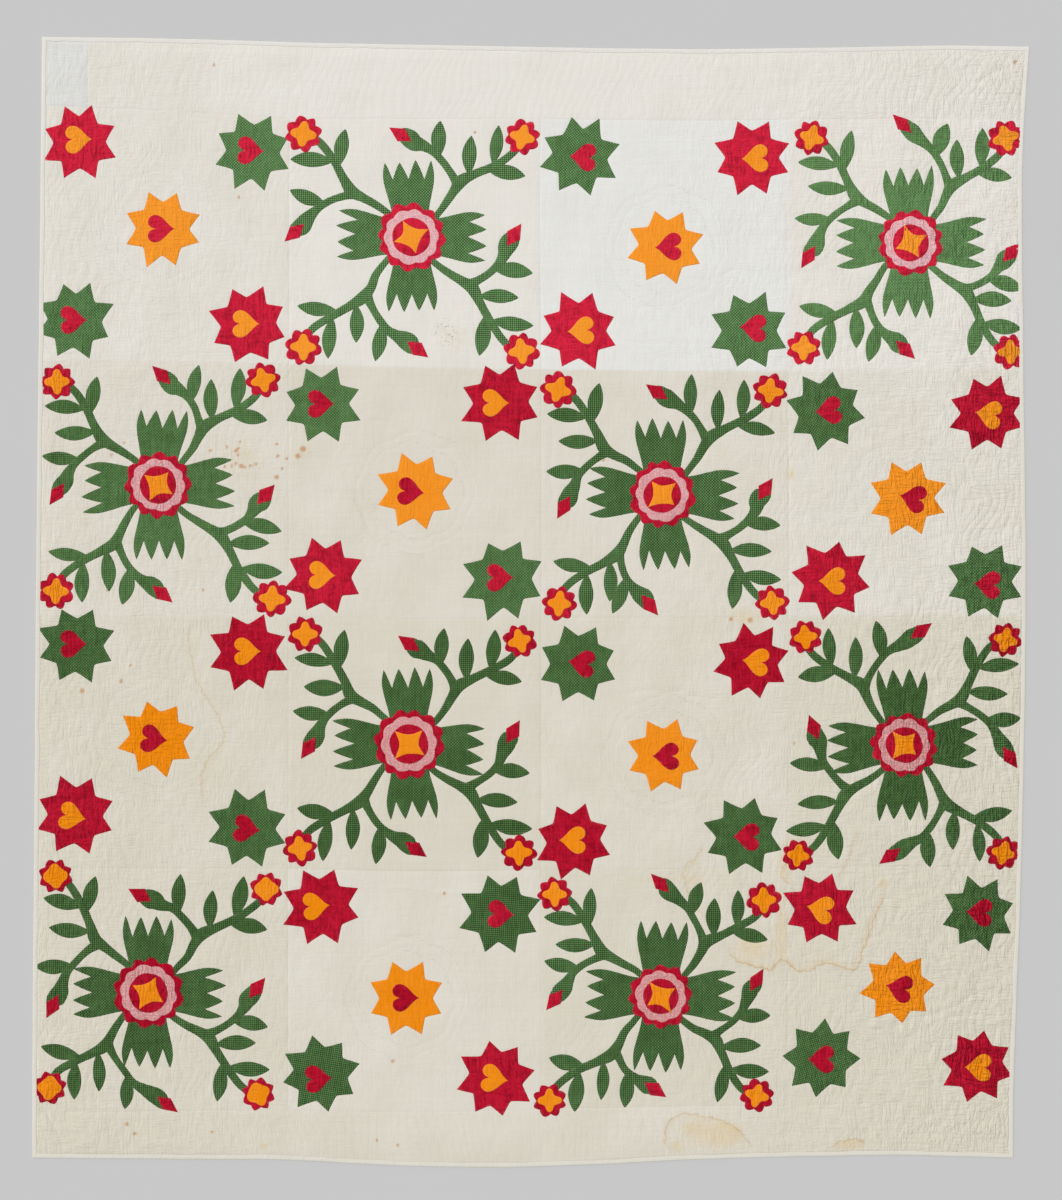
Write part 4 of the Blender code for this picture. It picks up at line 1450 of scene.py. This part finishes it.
def backing_cloth(name, colour, sizes):
    """Plain warm cotton with the quilting's small stitches coming through and painted shade in its troughs.
    """
    cloth = Finish(name, 0.92, 0.08)
    at = cloth.add("TexCoord", {}, {}, "Object")
    weave = threads(cloth, at, 0.0009)
    mottle = cloth.noise(at, (0.16, 0.2), 3.0) - 0.5
    shown = cloth.mix(mottle * 1.8 + 0.4, (*colour, 1.0), tint(colour, (0.95, 0.92, 0.86)))
    shown = cloth.mix(weave * 0.9 + 0.3, shown, tint(colour, (0.90, 0.88, 0.84)))
    groove, thread = stitches(cloth, cloth.attribute("quilt"), sizes.quilting_spacing)
    # Painted shade: the troughs of the quilting lines are darkened in the colour.
    shown = cloth.mix(groove * 0.2, shown, tint(colour, (0.74, 0.70, 0.64)))
    shown = cloth.mix(thread * 0.5, shown, tint(colour, (1.08, 1.07, 1.05)))
    height = weave * BACKING_WEAVE + fine_wrinkles(cloth, at) * sizes.wrinkles - groove * (0.35 * MM)
    return cloth.finish(shown, height)


# ---------------------------------------------------------------- what a user may change
def swatch(name, description, default):
    """A colour property, linear."""
    return FloatVectorProperty(
        name=name, description=description, default=default, subtype="COLOR", size=3, min=0, max=1
    )


class ClothColours(bpy.types.PropertyGroup):
    """Colours of the cloths."""

    pale: swatch("Pale muslin", "Ground cloth where it has yellowed least", (0.806, 0.785, 0.742))
    warm: swatch("Warm muslin", "Ground cloth where it has yellowed most", (0.702, 0.662, 0.565))
    cool: swatch("Cool muslin", "The whitest ground cloth, of one block", (0.800, 0.802, 0.784))
    odd: swatch("Odd muslin", "The bluish piece at the head border's end", (0.735, 0.738, 0.725))
    binding: swatch("Binding", "The binding's cotton", (0.800, 0.785, 0.750))
    backing: swatch("Backing", "The cotton underneath", (0.640, 0.590, 0.490))
    green: swatch("Green", "Green of stars, leaves and coxcombs, where it has faded", (0.187, 0.369, 0.135))
    green_deep: swatch("Deep green", "Green where the dye is darkest", (0.091, 0.190, 0.054))
    red: swatch("Red", "Red where it has faded", (0.800, 0.021, 0.060))
    red_deep: swatch("Deep red", "Red where the dye is darkest", (0.500, 0.0043, 0.025))
    orange: swatch("Orange", "Orange where it has faded", (1.000, 0.342, 0.030))
    orange_deep: swatch("Deep orange", "Orange where the dye is darkest", (0.910, 0.267, 0.004))
    pink: swatch("Pink", "Ground of the pink print, where it has faded", (0.876, 0.502, 0.530))
    pink_deep: swatch("Deep pink", "Ground of the pink print where it is darkest", (0.693, 0.325, 0.310))


def size_in_mm(name, description, default_mm, low_mm, high_mm):
    """A length property, given in mm and stored in metres."""
    limits = {"default": default_mm * MM, "min": low_mm * MM, "max": high_mm * MM}
    return FloatProperty(name=name, description=description, unit="LENGTH", precision=5, **limits)


class QuiltSizes(bpy.types.PropertyGroup):
    """Sizes of the relief."""

    swell: size_in_mm("Swell", "How much higher a block's middle is than its seams", 0.9, 0, 3)
    quilting_spacing: size_in_mm("Quilting spacing", "Distance between the quilting lines", 18, 8, 60)
    quilting_depth: size_in_mm("Quilting depth", "How deep the quilting pulls the cloth down", 0.45, 0, 1.5)
    wrinkles: FloatProperty(
        name="Wrinkles", description="Height of the washed cloth's wrinkles", default=1.0, min=0, max=3
    )
    patch_lift: FloatProperty(
        name="Patch lift", description="Thickness of the appliqued patches", default=1.0, min=0.3, max=1.5
    )
    cells: IntProperty(
        name="Cells", description="Mesh cells along the side of a block", default=106, min=20, max=108
    )


# ---------------------------------------------------------------- the ground cloth
BLOCK = 0.512  # the side of a block that the number of mesh cells goes with
SEAM_LINES = (0, 1.0, 2.2, 4.0)  # mm in from a seam, where a panel's mesh has its first lines
EDGE_LINES = (0, 2.0, 4.2, 6.6, 7.6, 8.4, 9.2, 10.2, 12.0)  # the same at the quilt's edge


def tide_lines():
    """The tide lines as (points in metres, strength)."""
    return [(np.array(line.points_mm) * MM, line.strength) for line in TIDE_LINES]


def cloud_cover(x, y, cloud):
    """A soft round spot: a bell each way."""
    across = bell(x - cloud.x_mm * MM, cloud.radius_x_mm * MM)
    return cloud.strength * across * bell(y - cloud.y_mm * MM, cloud.radius_y_mm * MM)


def washes(x, y):
    """Sum of the clouds, each a soft round spot."""
    total = np.zeros(np.shape(x))
    for cloud in CLOUDS:
        total += cloud_cover(x, y, cloud)
    return np.minimum(total, 1)


def foxing(x, y):
    """The strongest of the small rust spots, a bell over each, less the cloud of grey specks."""
    best = np.zeros(np.shape(x))
    for spot in SPOTS:
        radius = max(1.8 * spot.radius_mm, LEAST_SPOT_MM) * MM  # less than a mesh cell would be lost
        best = np.maximum(best, bell(np.hypot(x - spot.x_mm * MM, y - spot.y_mm * MM), radius))
    return best - cloud_cover(x, y, MILDEW)


def near_only(distance, strength):
    """Strength that ends before the nearest line can change."""
    return strength * smoothstep(0.020, 0.008, np.abs(distance))


def make_ground(name, s, t, material, tone, sizes, patches):
    """A panel of ground cloth from grids of shares, with its attributes."""
    at = place(s, t)
    x, y = at[..., 0].ravel(), at[..., 1].ravel()
    points = vectors(x, y, ground_height(x, y, sizes))
    s, t = s.ravel(), t.ravel()
    to_column, to_row, _ = nearest_seams(x, s, t)
    tide, tide_firm = nearest_line(x, y, tide_lines(), REACH)
    crease, crease_height = nearest_line(x, y, crease_lines(), REACH)
    lines = quilting(x, y, sizes)
    attributes = {
        "quilt": vectors(*lines[0]),
        "crossing": vectors(*lines[1]),
        "seam": vectors(np.minimum(np.minimum(to_column, to_row), 0.02), liveliness(x, y), tone),
        "stain": vectors(tide, near_only(tide, tide_firm), washes(x, y)),
        "crease": vectors(crease, near_only(crease, np.abs(crease_height)), foxing(x, y)),
    }
    piece = new_piece(name, points, grid_faces(*at.shape[:2]), attributes, material, "muslin", "quilt_body")


def panel_lines(length, cell, low=SEAM_LINES, high=SEAM_LINES):
    """Shares of a run where a panel has its lines: at low and high mm in from its ends, and even between."""
    low, high = np.array(low) * MM / length, 1 - np.array(high)[::-1] * MM / length
    return np.concatenate([low[:-1], np.linspace(low[-1], high[0], round(length / cell)), high[1:]])


def muslins(context):
    """The three ground cloths' materials, by name, made once. The odd and cool ones hardly yellow."""
    sizes, colours = context.scene.quilt_sizes, context.scene.cloth_colours
    warm = tuple(colours.warm)
    made = {}
    for name in ("pale", "cool", "odd"):
        found = bpy.data.materials.get("muslin_" + name)
        made[name] = found or muslin("muslin_" + name, tuple(getattr(colours, name)), warm, sizes)
    return made


class QUILT_OT_ground_blocks(bpy.types.Operator):
    """Make the ground cloth of the sixteen blocks, each bilinear between its four corners in shares"""

    bl_idname = "quilt.ground_blocks"
    bl_label = "Ground Blocks"

    def execute(self, context):
        sizes = context.scene.quilt_sizes
        materials = muslins(context)
        for row, tones in enumerate(BLOCK_TONE):
            for column, tone in enumerate(tones):
                low, high = (EDGE_LINES if column == end else SEAM_LINES for end in (0, 3))
                across = panel_lines(BLOCK, BLOCK / sizes.cells, low, high)
                u, v = np.meshgrid(across, panel_lines(BLOCK, BLOCK / sizes.cells), indexing="ij")
                u, v = u[..., None], v[..., None]
                head, foot = CORNERS[row, column : column + 2], CORNERS[row + 1, column : column + 2]
                share = (foot[0] * (1 - u) + foot[1] * u) * (1 - v) + (head[0] * (1 - u) + head[1] * u) * v
                block = f"r{row + 1}c{column + 1}"
                patches = [o.name for o in context.scene.objects if o.name.startswith(block + "_")]
                material = materials["cool" if block == COOL_BLOCK else "pale"]
                make_ground("ground_" + block, *np.moveaxis(share, -1, 0), material, tone, sizes, patches)
        return {"FINISHED"}


class QUILT_OT_borders(bpy.types.Operator):
    """Make the head border, its odd end piece and the foot border, from the block seams out to the binding"""

    bl_idname = "quilt.borders"
    bl_label = "Borders"

    def execute(self, context):
        sizes = context.scene.quilt_sizes
        materials = muslins(context)
        low, high = TUCK_START / WIDTH, 1 - TUCK_START / WIDTH
        end = float(shares(CORNER_PIECE_SEAM, 1.07)[0])
        foot, head = TUCK_START / LENGTH, 1 - TUCK_START / LENGTH
        borders = (
            ("border_head_end", low, end, 0, head, "odd", 0.0),
            ("border_head", end, high, 0, head, "pale", HEAD_TONE),
            ("border_foot", low, high, 4, foot, "pale", FOOT_TONE),
        )
        for name, start, stop, row, edge, muslin_name, tone in borders:
            at_start = EDGE_LINES if start == low else SEAM_LINES
            at_stop = EDGE_LINES if stop == high else SEAM_LINES
            across = panel_lines((stop - start) * WIDTH, BLOCK / sizes.cells, at_start, at_stop)
            s = start + (stop - start) * across
            seam = np.interp(s, CORNERS[row, :, 0], CORNERS[row, :, 1])
            v = panel_lines(abs(edge - seam.mean()) * LENGTH, BLOCK / sizes.cells, high=EDGE_LINES)
            t = seam[:, None] + (edge - seam)[:, None] * v
            s = np.broadcast_to(s[:, None], t.shape)
            if row:
                s, t = s[:, ::-1], t[:, ::-1]
            if muslin_name == "pale":
                tone = tone + 0.3 * smoothstep(0.3, 0.95, np.abs(2 * s.ravel() - 1))
            make_ground(name, s, t, materials[muslin_name], tone, sizes, [])
        return {"FINISHED"}


# ---------------------------------------------------------------- the appliqued patches
CLOTH_SLOTS = {"green": "green_print", "red": "turkey_red", "orange": "orange", "pink": "pink_print"}
CLOTH_PRINTS = {"green": green_check, "pink": pink_sprig}
# How much darker painted shade makes the hollows of each cloth's creases. The same number also sets how
# strongly a fine grain darkens the cloth.
CREASE_SHADE_AND_GRAIN = {"green": 0.16, "red": 0.42, "orange": 0.06, "pink": 0.08}


def patch_cloths(context):
    """The four dyed cottons, by name, made once."""
    colours = context.scene.cloth_colours
    made = {}
    for name in CLOTH_SLOTS:
        light, deep = tuple(getattr(colours, name)), tuple(getattr(colours, name + "_deep"))
        found = bpy.data.materials.get(name)
        made[name] = found or dyed(
            name, light, deep, CREASE_SHADE_AND_GRAIN[name], context.scene.quilt_sizes, CLOTH_PRINTS.get(name)
        )
    return made


def make_patches(context, block, patches):
    """Join a block's patches, one piece for each cloth."""
    sizes = context.scene.quilt_sizes
    materials = patch_cloths(context)
    for cloth, slot in CLOTH_SLOTS.items():
        points, faces, grain, rims = [], [], [], []
        for patch in (p for p in patches if p.cloth == cloth):
            rim = distance_to_outline(patch.points, patch.outline)
            faces.append(patch.faces + sum(map(len, points)))
            points.append(vectors(*patch.points.T, patch_height(patch, rim, sizes)))
            grain_deg = patch.grain_deg + 45 * (block == SQUARE_PRINT)
            flat = turned(patch.points, -grain_deg)
            grain.append(vectors(*flat.T, PRINT_STRENGTH.get(block, PLAIN_PRINT)))
            shade = ROW_SHADE[int(block[1]) - 1] + 0.3 * patch.shade
            rims.append(vectors(rim, shade, liveliness(*patch.points.T)))
        if points:
            attributes = {"grain": np.concatenate(grain), "rim": np.concatenate(rims)}
            name = f"{block}_{cloth}"
            joined = np.concatenate(points), np.concatenate(faces)
            new_piece(name, *joined, attributes, materials[cloth], slot, "quilt_body")


class QUILT_OT_star_patches(bpy.types.Operator):
    """Make the stars and their hearts, in the blocks that have them"""

    bl_idname = "quilt.star_patches"
    bl_label = "Stars and Hearts"

    def execute(self, context):
        for block in dict.fromkeys(star.block for star in STARS):
            make_patches(context, block, all_patches()[block])
        return {"FINISHED"}


class QUILT_OT_rose_patches(bpy.types.Operator):
    """Make the coxcomb roses with their arms, in the blocks that have them"""

    bl_idname = "quilt.rose_patches"
    bl_label = "Coxcomb Roses"

    def execute(self, context):
        for rose in ROSES:
            make_patches(context, rose.block, all_patches()[rose.block])
        return {"FINISHED"}


# ---------------------------------------------------------------- the binding and the backing
ProfilePoint = namedtuple("ProfilePoint", "inset_mm z_mm")
BINDING_PROFILE = [ProfilePoint(*row) for row in (  # from its inner edge underneath to that on top
    (8.6, 0.75), (9.0, 0.35), (8.2, 0.05), (5.0, 0.0), (1.6, 0.0), (0.35, 0.40), (0.0, 1.3), (0.0, 2.4),
    (0.25, 3.12), (0.9, 3.5), (2.0, 3.62), (4.2, 3.67), (6.6, 3.62), (8.4, 3.52), (9.1, 3.38),
    (8.9, 3.24), (8.3, 3.20),
)]
BINDING_CELL = 5.0 * MM
HAND_SWING = 0.5 * MM  # how far its inner edge wanders
PUCKER_HEIGHT = 0.10 * MM
PUCKERED_FROM = 3.0 * MM  # the height where its upper side begins


def make_strip(side, length, shares_at, seed, material):
    """A binding strip: the profile carried along an edge, its inner edge wandering and puckered.

    shares_at(run, inset) is a place's shares, from the share of the way along the edge and the metres in from
    it. The strip ends in a mitre, which is as long as the inset.
    """
    profile = np.array(BINDING_PROFILE) * MM
    across = np.concatenate([[0], np.cumsum(np.hypot(*np.diff(profile, axis=0).T))])
    share = np.linspace(0, 1, round(length / BINDING_CELL))[:, None]
    run = share * length
    inset, z = (np.broadcast_to(side_of, (len(run), len(profile))) for side_of in profile.T)
    inner = inset / BINDING_WIDTH
    hand = HAND_SWING * waves(run, 0, HAND_SEWN._replace(seed=seed))
    puckers = waves(run, inset, BINDING_PUCKERS._replace(seed=seed + 10))
    inset = inset + hand * (inner + 0.25 * (1 - inner))
    raised = (z > PUCKERED_FROM) * (PUCKER_HEIGHT * np.abs(puckers) * inner)
    z = np.maximum(z + raised, 0)
    mitre = np.maximum(inset, 0) / length
    at = place(*shares_at(mitre + share * (1 - 2 * mitre), inset))
    points = vectors(at[..., 0], at[..., 1], z).reshape(-1, 3)
    faces = grid_faces(*inset.shape)
    if side in ("top", "left"):
        faces = faces[:, ::-1]
    soiled = np.clip(1.15 - at[..., 1], 0, 1)  # paler towards the head
    grain = vectors(run, across, soiled).reshape(-1, 3)
    piece = new_piece("edge_" + side, points, faces, {"grain": grain}, material, "binding", "binding_" + side)


class QUILT_OT_binding(bpy.types.Operator):
    """Make the four binding strips: a folded profile carried along each edge, mitred at the corners"""

    bl_idname = "quilt.binding"
    bl_label = "Binding"

    def execute(self, context):
        colours = context.scene.cloth_colours
        material = binding_cloth("binding", tuple(colours.binding), context.scene.quilt_sizes)
        edges = (
            ("top", WIDTH, lambda run, inset: (run, 1 - inset / LENGTH), 31),
            ("bottom", WIDTH, lambda run, inset: (run, inset / LENGTH), 32),
            ("left", LENGTH, lambda run, inset: (inset / WIDTH, run), 33),
            ("right", LENGTH, lambda run, inset: (1 - inset / WIDTH, run), 34),
        )
        for side, length, shares_at, seed in edges:
            make_strip(side, length, shares_at, seed, material)
        return {"FINISHED"}


BACKING_CELL = 12.5 * MM
BACKING_FLAT = 14.0 * MM  # how far in from the edge it lies on the floor
DIMPLE = 0.9 * MM  # how far the quilting lifts it off the floor
SOFT_HOLLOW = 0.15 * MM


class QUILT_OT_backing(bpy.types.Operator):
    """Make the backing: one sheet on the floor, raised at its edges into the binding and under stitches"""

    bl_idname = "quilt.backing"
    bl_label = "Backing"

    def execute(self, context):
        sizes, colours = context.scene.quilt_sizes, context.scene.cloth_colours
        low_s, low_t = TUCK_START / WIDTH, TUCK_START / LENGTH
        s = low_s + (1 - 2 * low_s) * panel_lines(WIDTH, BACKING_CELL)
        t = low_t + (1 - 2 * low_t) * panel_lines(LENGTH, BACKING_CELL)
        s, t = np.meshgrid(s, t, indexing="ij")
        at = place(s, t)
        inset = edge_inset(s, t).ravel()
        x, y = at[..., 0].ravel(), at[..., 1].ravel()
        quilt, _ = quilting(x, y, sizes)
        phase, _, firm = quilt
        dimple = DIMPLE * firm * (0.5 + 0.5 * np.cos(2 * np.pi * phase)) ** 2
        soft = SOFT_HOLLOW * np.maximum(waves(x, y, BACKING_HOLLOWS), 0)
        full = smoothstep(TUCK_END, BACKING_FLAT, inset)
        z = TUCK_LOW * (1 - full) + (dimple + soft) * full
        material = backing_cloth("backing", tuple(colours.backing), sizes)
        attributes = {"quilt": vectors(*quilt)}
        faces = grid_faces(*at.shape[:2])[:, ::-1]
        piece = new_piece("backing", vectors(x, y, z), faces, attributes, material, "backing", "quilt_body")
        return {"FINISHED"}


# ---------------------------------------------------------------- the studio
FLOOR_GREY = 0.575
FLOOR_HALF = 8.0  # half its side
FLOOR_Z = -0.2 * MM
CAMERA_HEIGHT = 12.0
CAMERA_X, CAMERA_Y = 0.0, 0.0042
VIEW_HEIGHT = 2.460  # what the long side of the view takes in at the floor
SENSOR = 36.0  # in mm; only its share of the lens counts
LAMP_AT = (-4.6, 3.4, 5.0)
LAMP_STRENGTH = 2.31
LAMP_SPREAD_DEG = 50.0
SKY_STRENGTH = 0.52


def make_floor():
    """A pale floor, faintly mottled, just under the quilt."""
    mesh = bpy.data.meshes.new("floor")
    corners = [(FLOOR_HALF * x, FLOOR_HALF * y, FLOOR_Z) for x, y in ((-1, -1), (1, -1), (1, 1), (-1, 1))]
    mesh.from_pydata(corners, [], [(0, 1, 2, 3)])
    grey = Finish("floor", 0.9, 0.0)
    grain = grey.noise(grey.add("TexCoord", {}, {}, "Object"), (0.5, 0.5), 2.0)
    level = (FLOOR_GREY * 1.01,) * 3
    shown = grey.mix(grain, (*level, 1.0), tint(level, (0.98, 0.98, 0.98)))
    grey.put(grey.shader.inputs["Base Color"], shown)
    mesh.materials.append(grey.material)
    return bpy.data.objects.new("floor", mesh)


def make_light():
    """A broad soft light from the left and the head."""
    lamp = bpy.data.lights.new("window", "SUN")
    lamp.angle, lamp.energy = np.radians(LAMP_SPREAD_DEG), LAMP_STRENGTH
    lamp.use_shadow = False
    light = bpy.data.objects.new("window", lamp)
    light.location = LAMP_AT
    light.rotation_euler = light.location.to_track_quat("Z", "Y").to_euler()
    return light


def make_camera():
    """A camera that looks straight down; its lens takes in the view's height at the floor."""
    camera = bpy.data.cameras.new("camera")
    camera.sensor_width = SENSOR
    camera.lens = SENSOR * CAMERA_HEIGHT / VIEW_HEIGHT
    camera.clip_end = 60.0
    viewer = bpy.data.objects.new("camera", camera)
    viewer.location = (CAMERA_X, CAMERA_Y, CAMERA_HEIGHT)
    return viewer


class QUILT_OT_studio(bpy.types.Operator):
    """Make the pale floor, the soft light and the camera that looks straight down"""

    bl_idname = "quilt.studio"
    bl_label = "Studio"

    def execute(self, context):
        scene = context.scene
        floor, light, viewer = make_floor(), make_light(), make_camera()
        for thing in (floor, light, viewer):
            scene.collection.objects.link(thing)
        scene.camera = viewer
        scene.world = bpy.data.worlds.new("studio")
        scene.world.use_nodes = True
        sky = scene.world.node_tree.nodes["Background"]
        sky.inputs["Color"].default_value = (1.0, 1.0, 1.0, 1.0)
        sky.inputs["Strength"].default_value = SKY_STRENGTH
        scene.view_settings.view_transform = "Standard"
        return {"FINISHED"}


# ---------------------------------------------------------------- panel and registration
OPERATORS = (
    QUILT_OT_star_patches,
    QUILT_OT_rose_patches,
    QUILT_OT_ground_blocks,
    QUILT_OT_borders,
    QUILT_OT_binding,
    QUILT_OT_backing,
    QUILT_OT_studio,
)


class QUILT_PT_panel(bpy.types.Panel):
    """The quilt's operators, sizes and colours"""

    bl_idname = "QUILT_PT_panel"
    bl_label = "Applique Quilt"
    bl_space_type = "VIEW_3D"
    bl_region_type = "UI"
    bl_category = "Quilt"

    def draw(self, context):
        for operator in OPERATORS:
            self.layout.operator(operator.bl_idname)
        for group in (context.scene.quilt_sizes, context.scene.cloth_colours):
            for name in group.__annotations__:
                self.layout.prop(group, name)


CLASSES = (ClothColours, QuiltSizes, *OPERATORS, QUILT_PT_panel)


def register():
    for cls in CLASSES:
        bpy.utils.register_class(cls)
    bpy.types.Scene.cloth_colours = PointerProperty(type=ClothColours)
    bpy.types.Scene.quilt_sizes = PointerProperty(type=QuiltSizes)


def unregister():
    del bpy.types.Scene.quilt_sizes
    del bpy.types.Scene.cloth_colours
    for cls in reversed(CLASSES):
        bpy.utils.unregister_class(cls)


def main():
    register()
    bpy.ops.quilt.star_patches()
    bpy.ops.quilt.rose_patches()
    bpy.ops.quilt.ground_blocks()
    bpy.ops.quilt.borders()
    bpy.ops.quilt.binding()
    bpy.ops.quilt.backing()
    bpy.ops.quilt.studio()


if __name__ == "__main__":
    main()
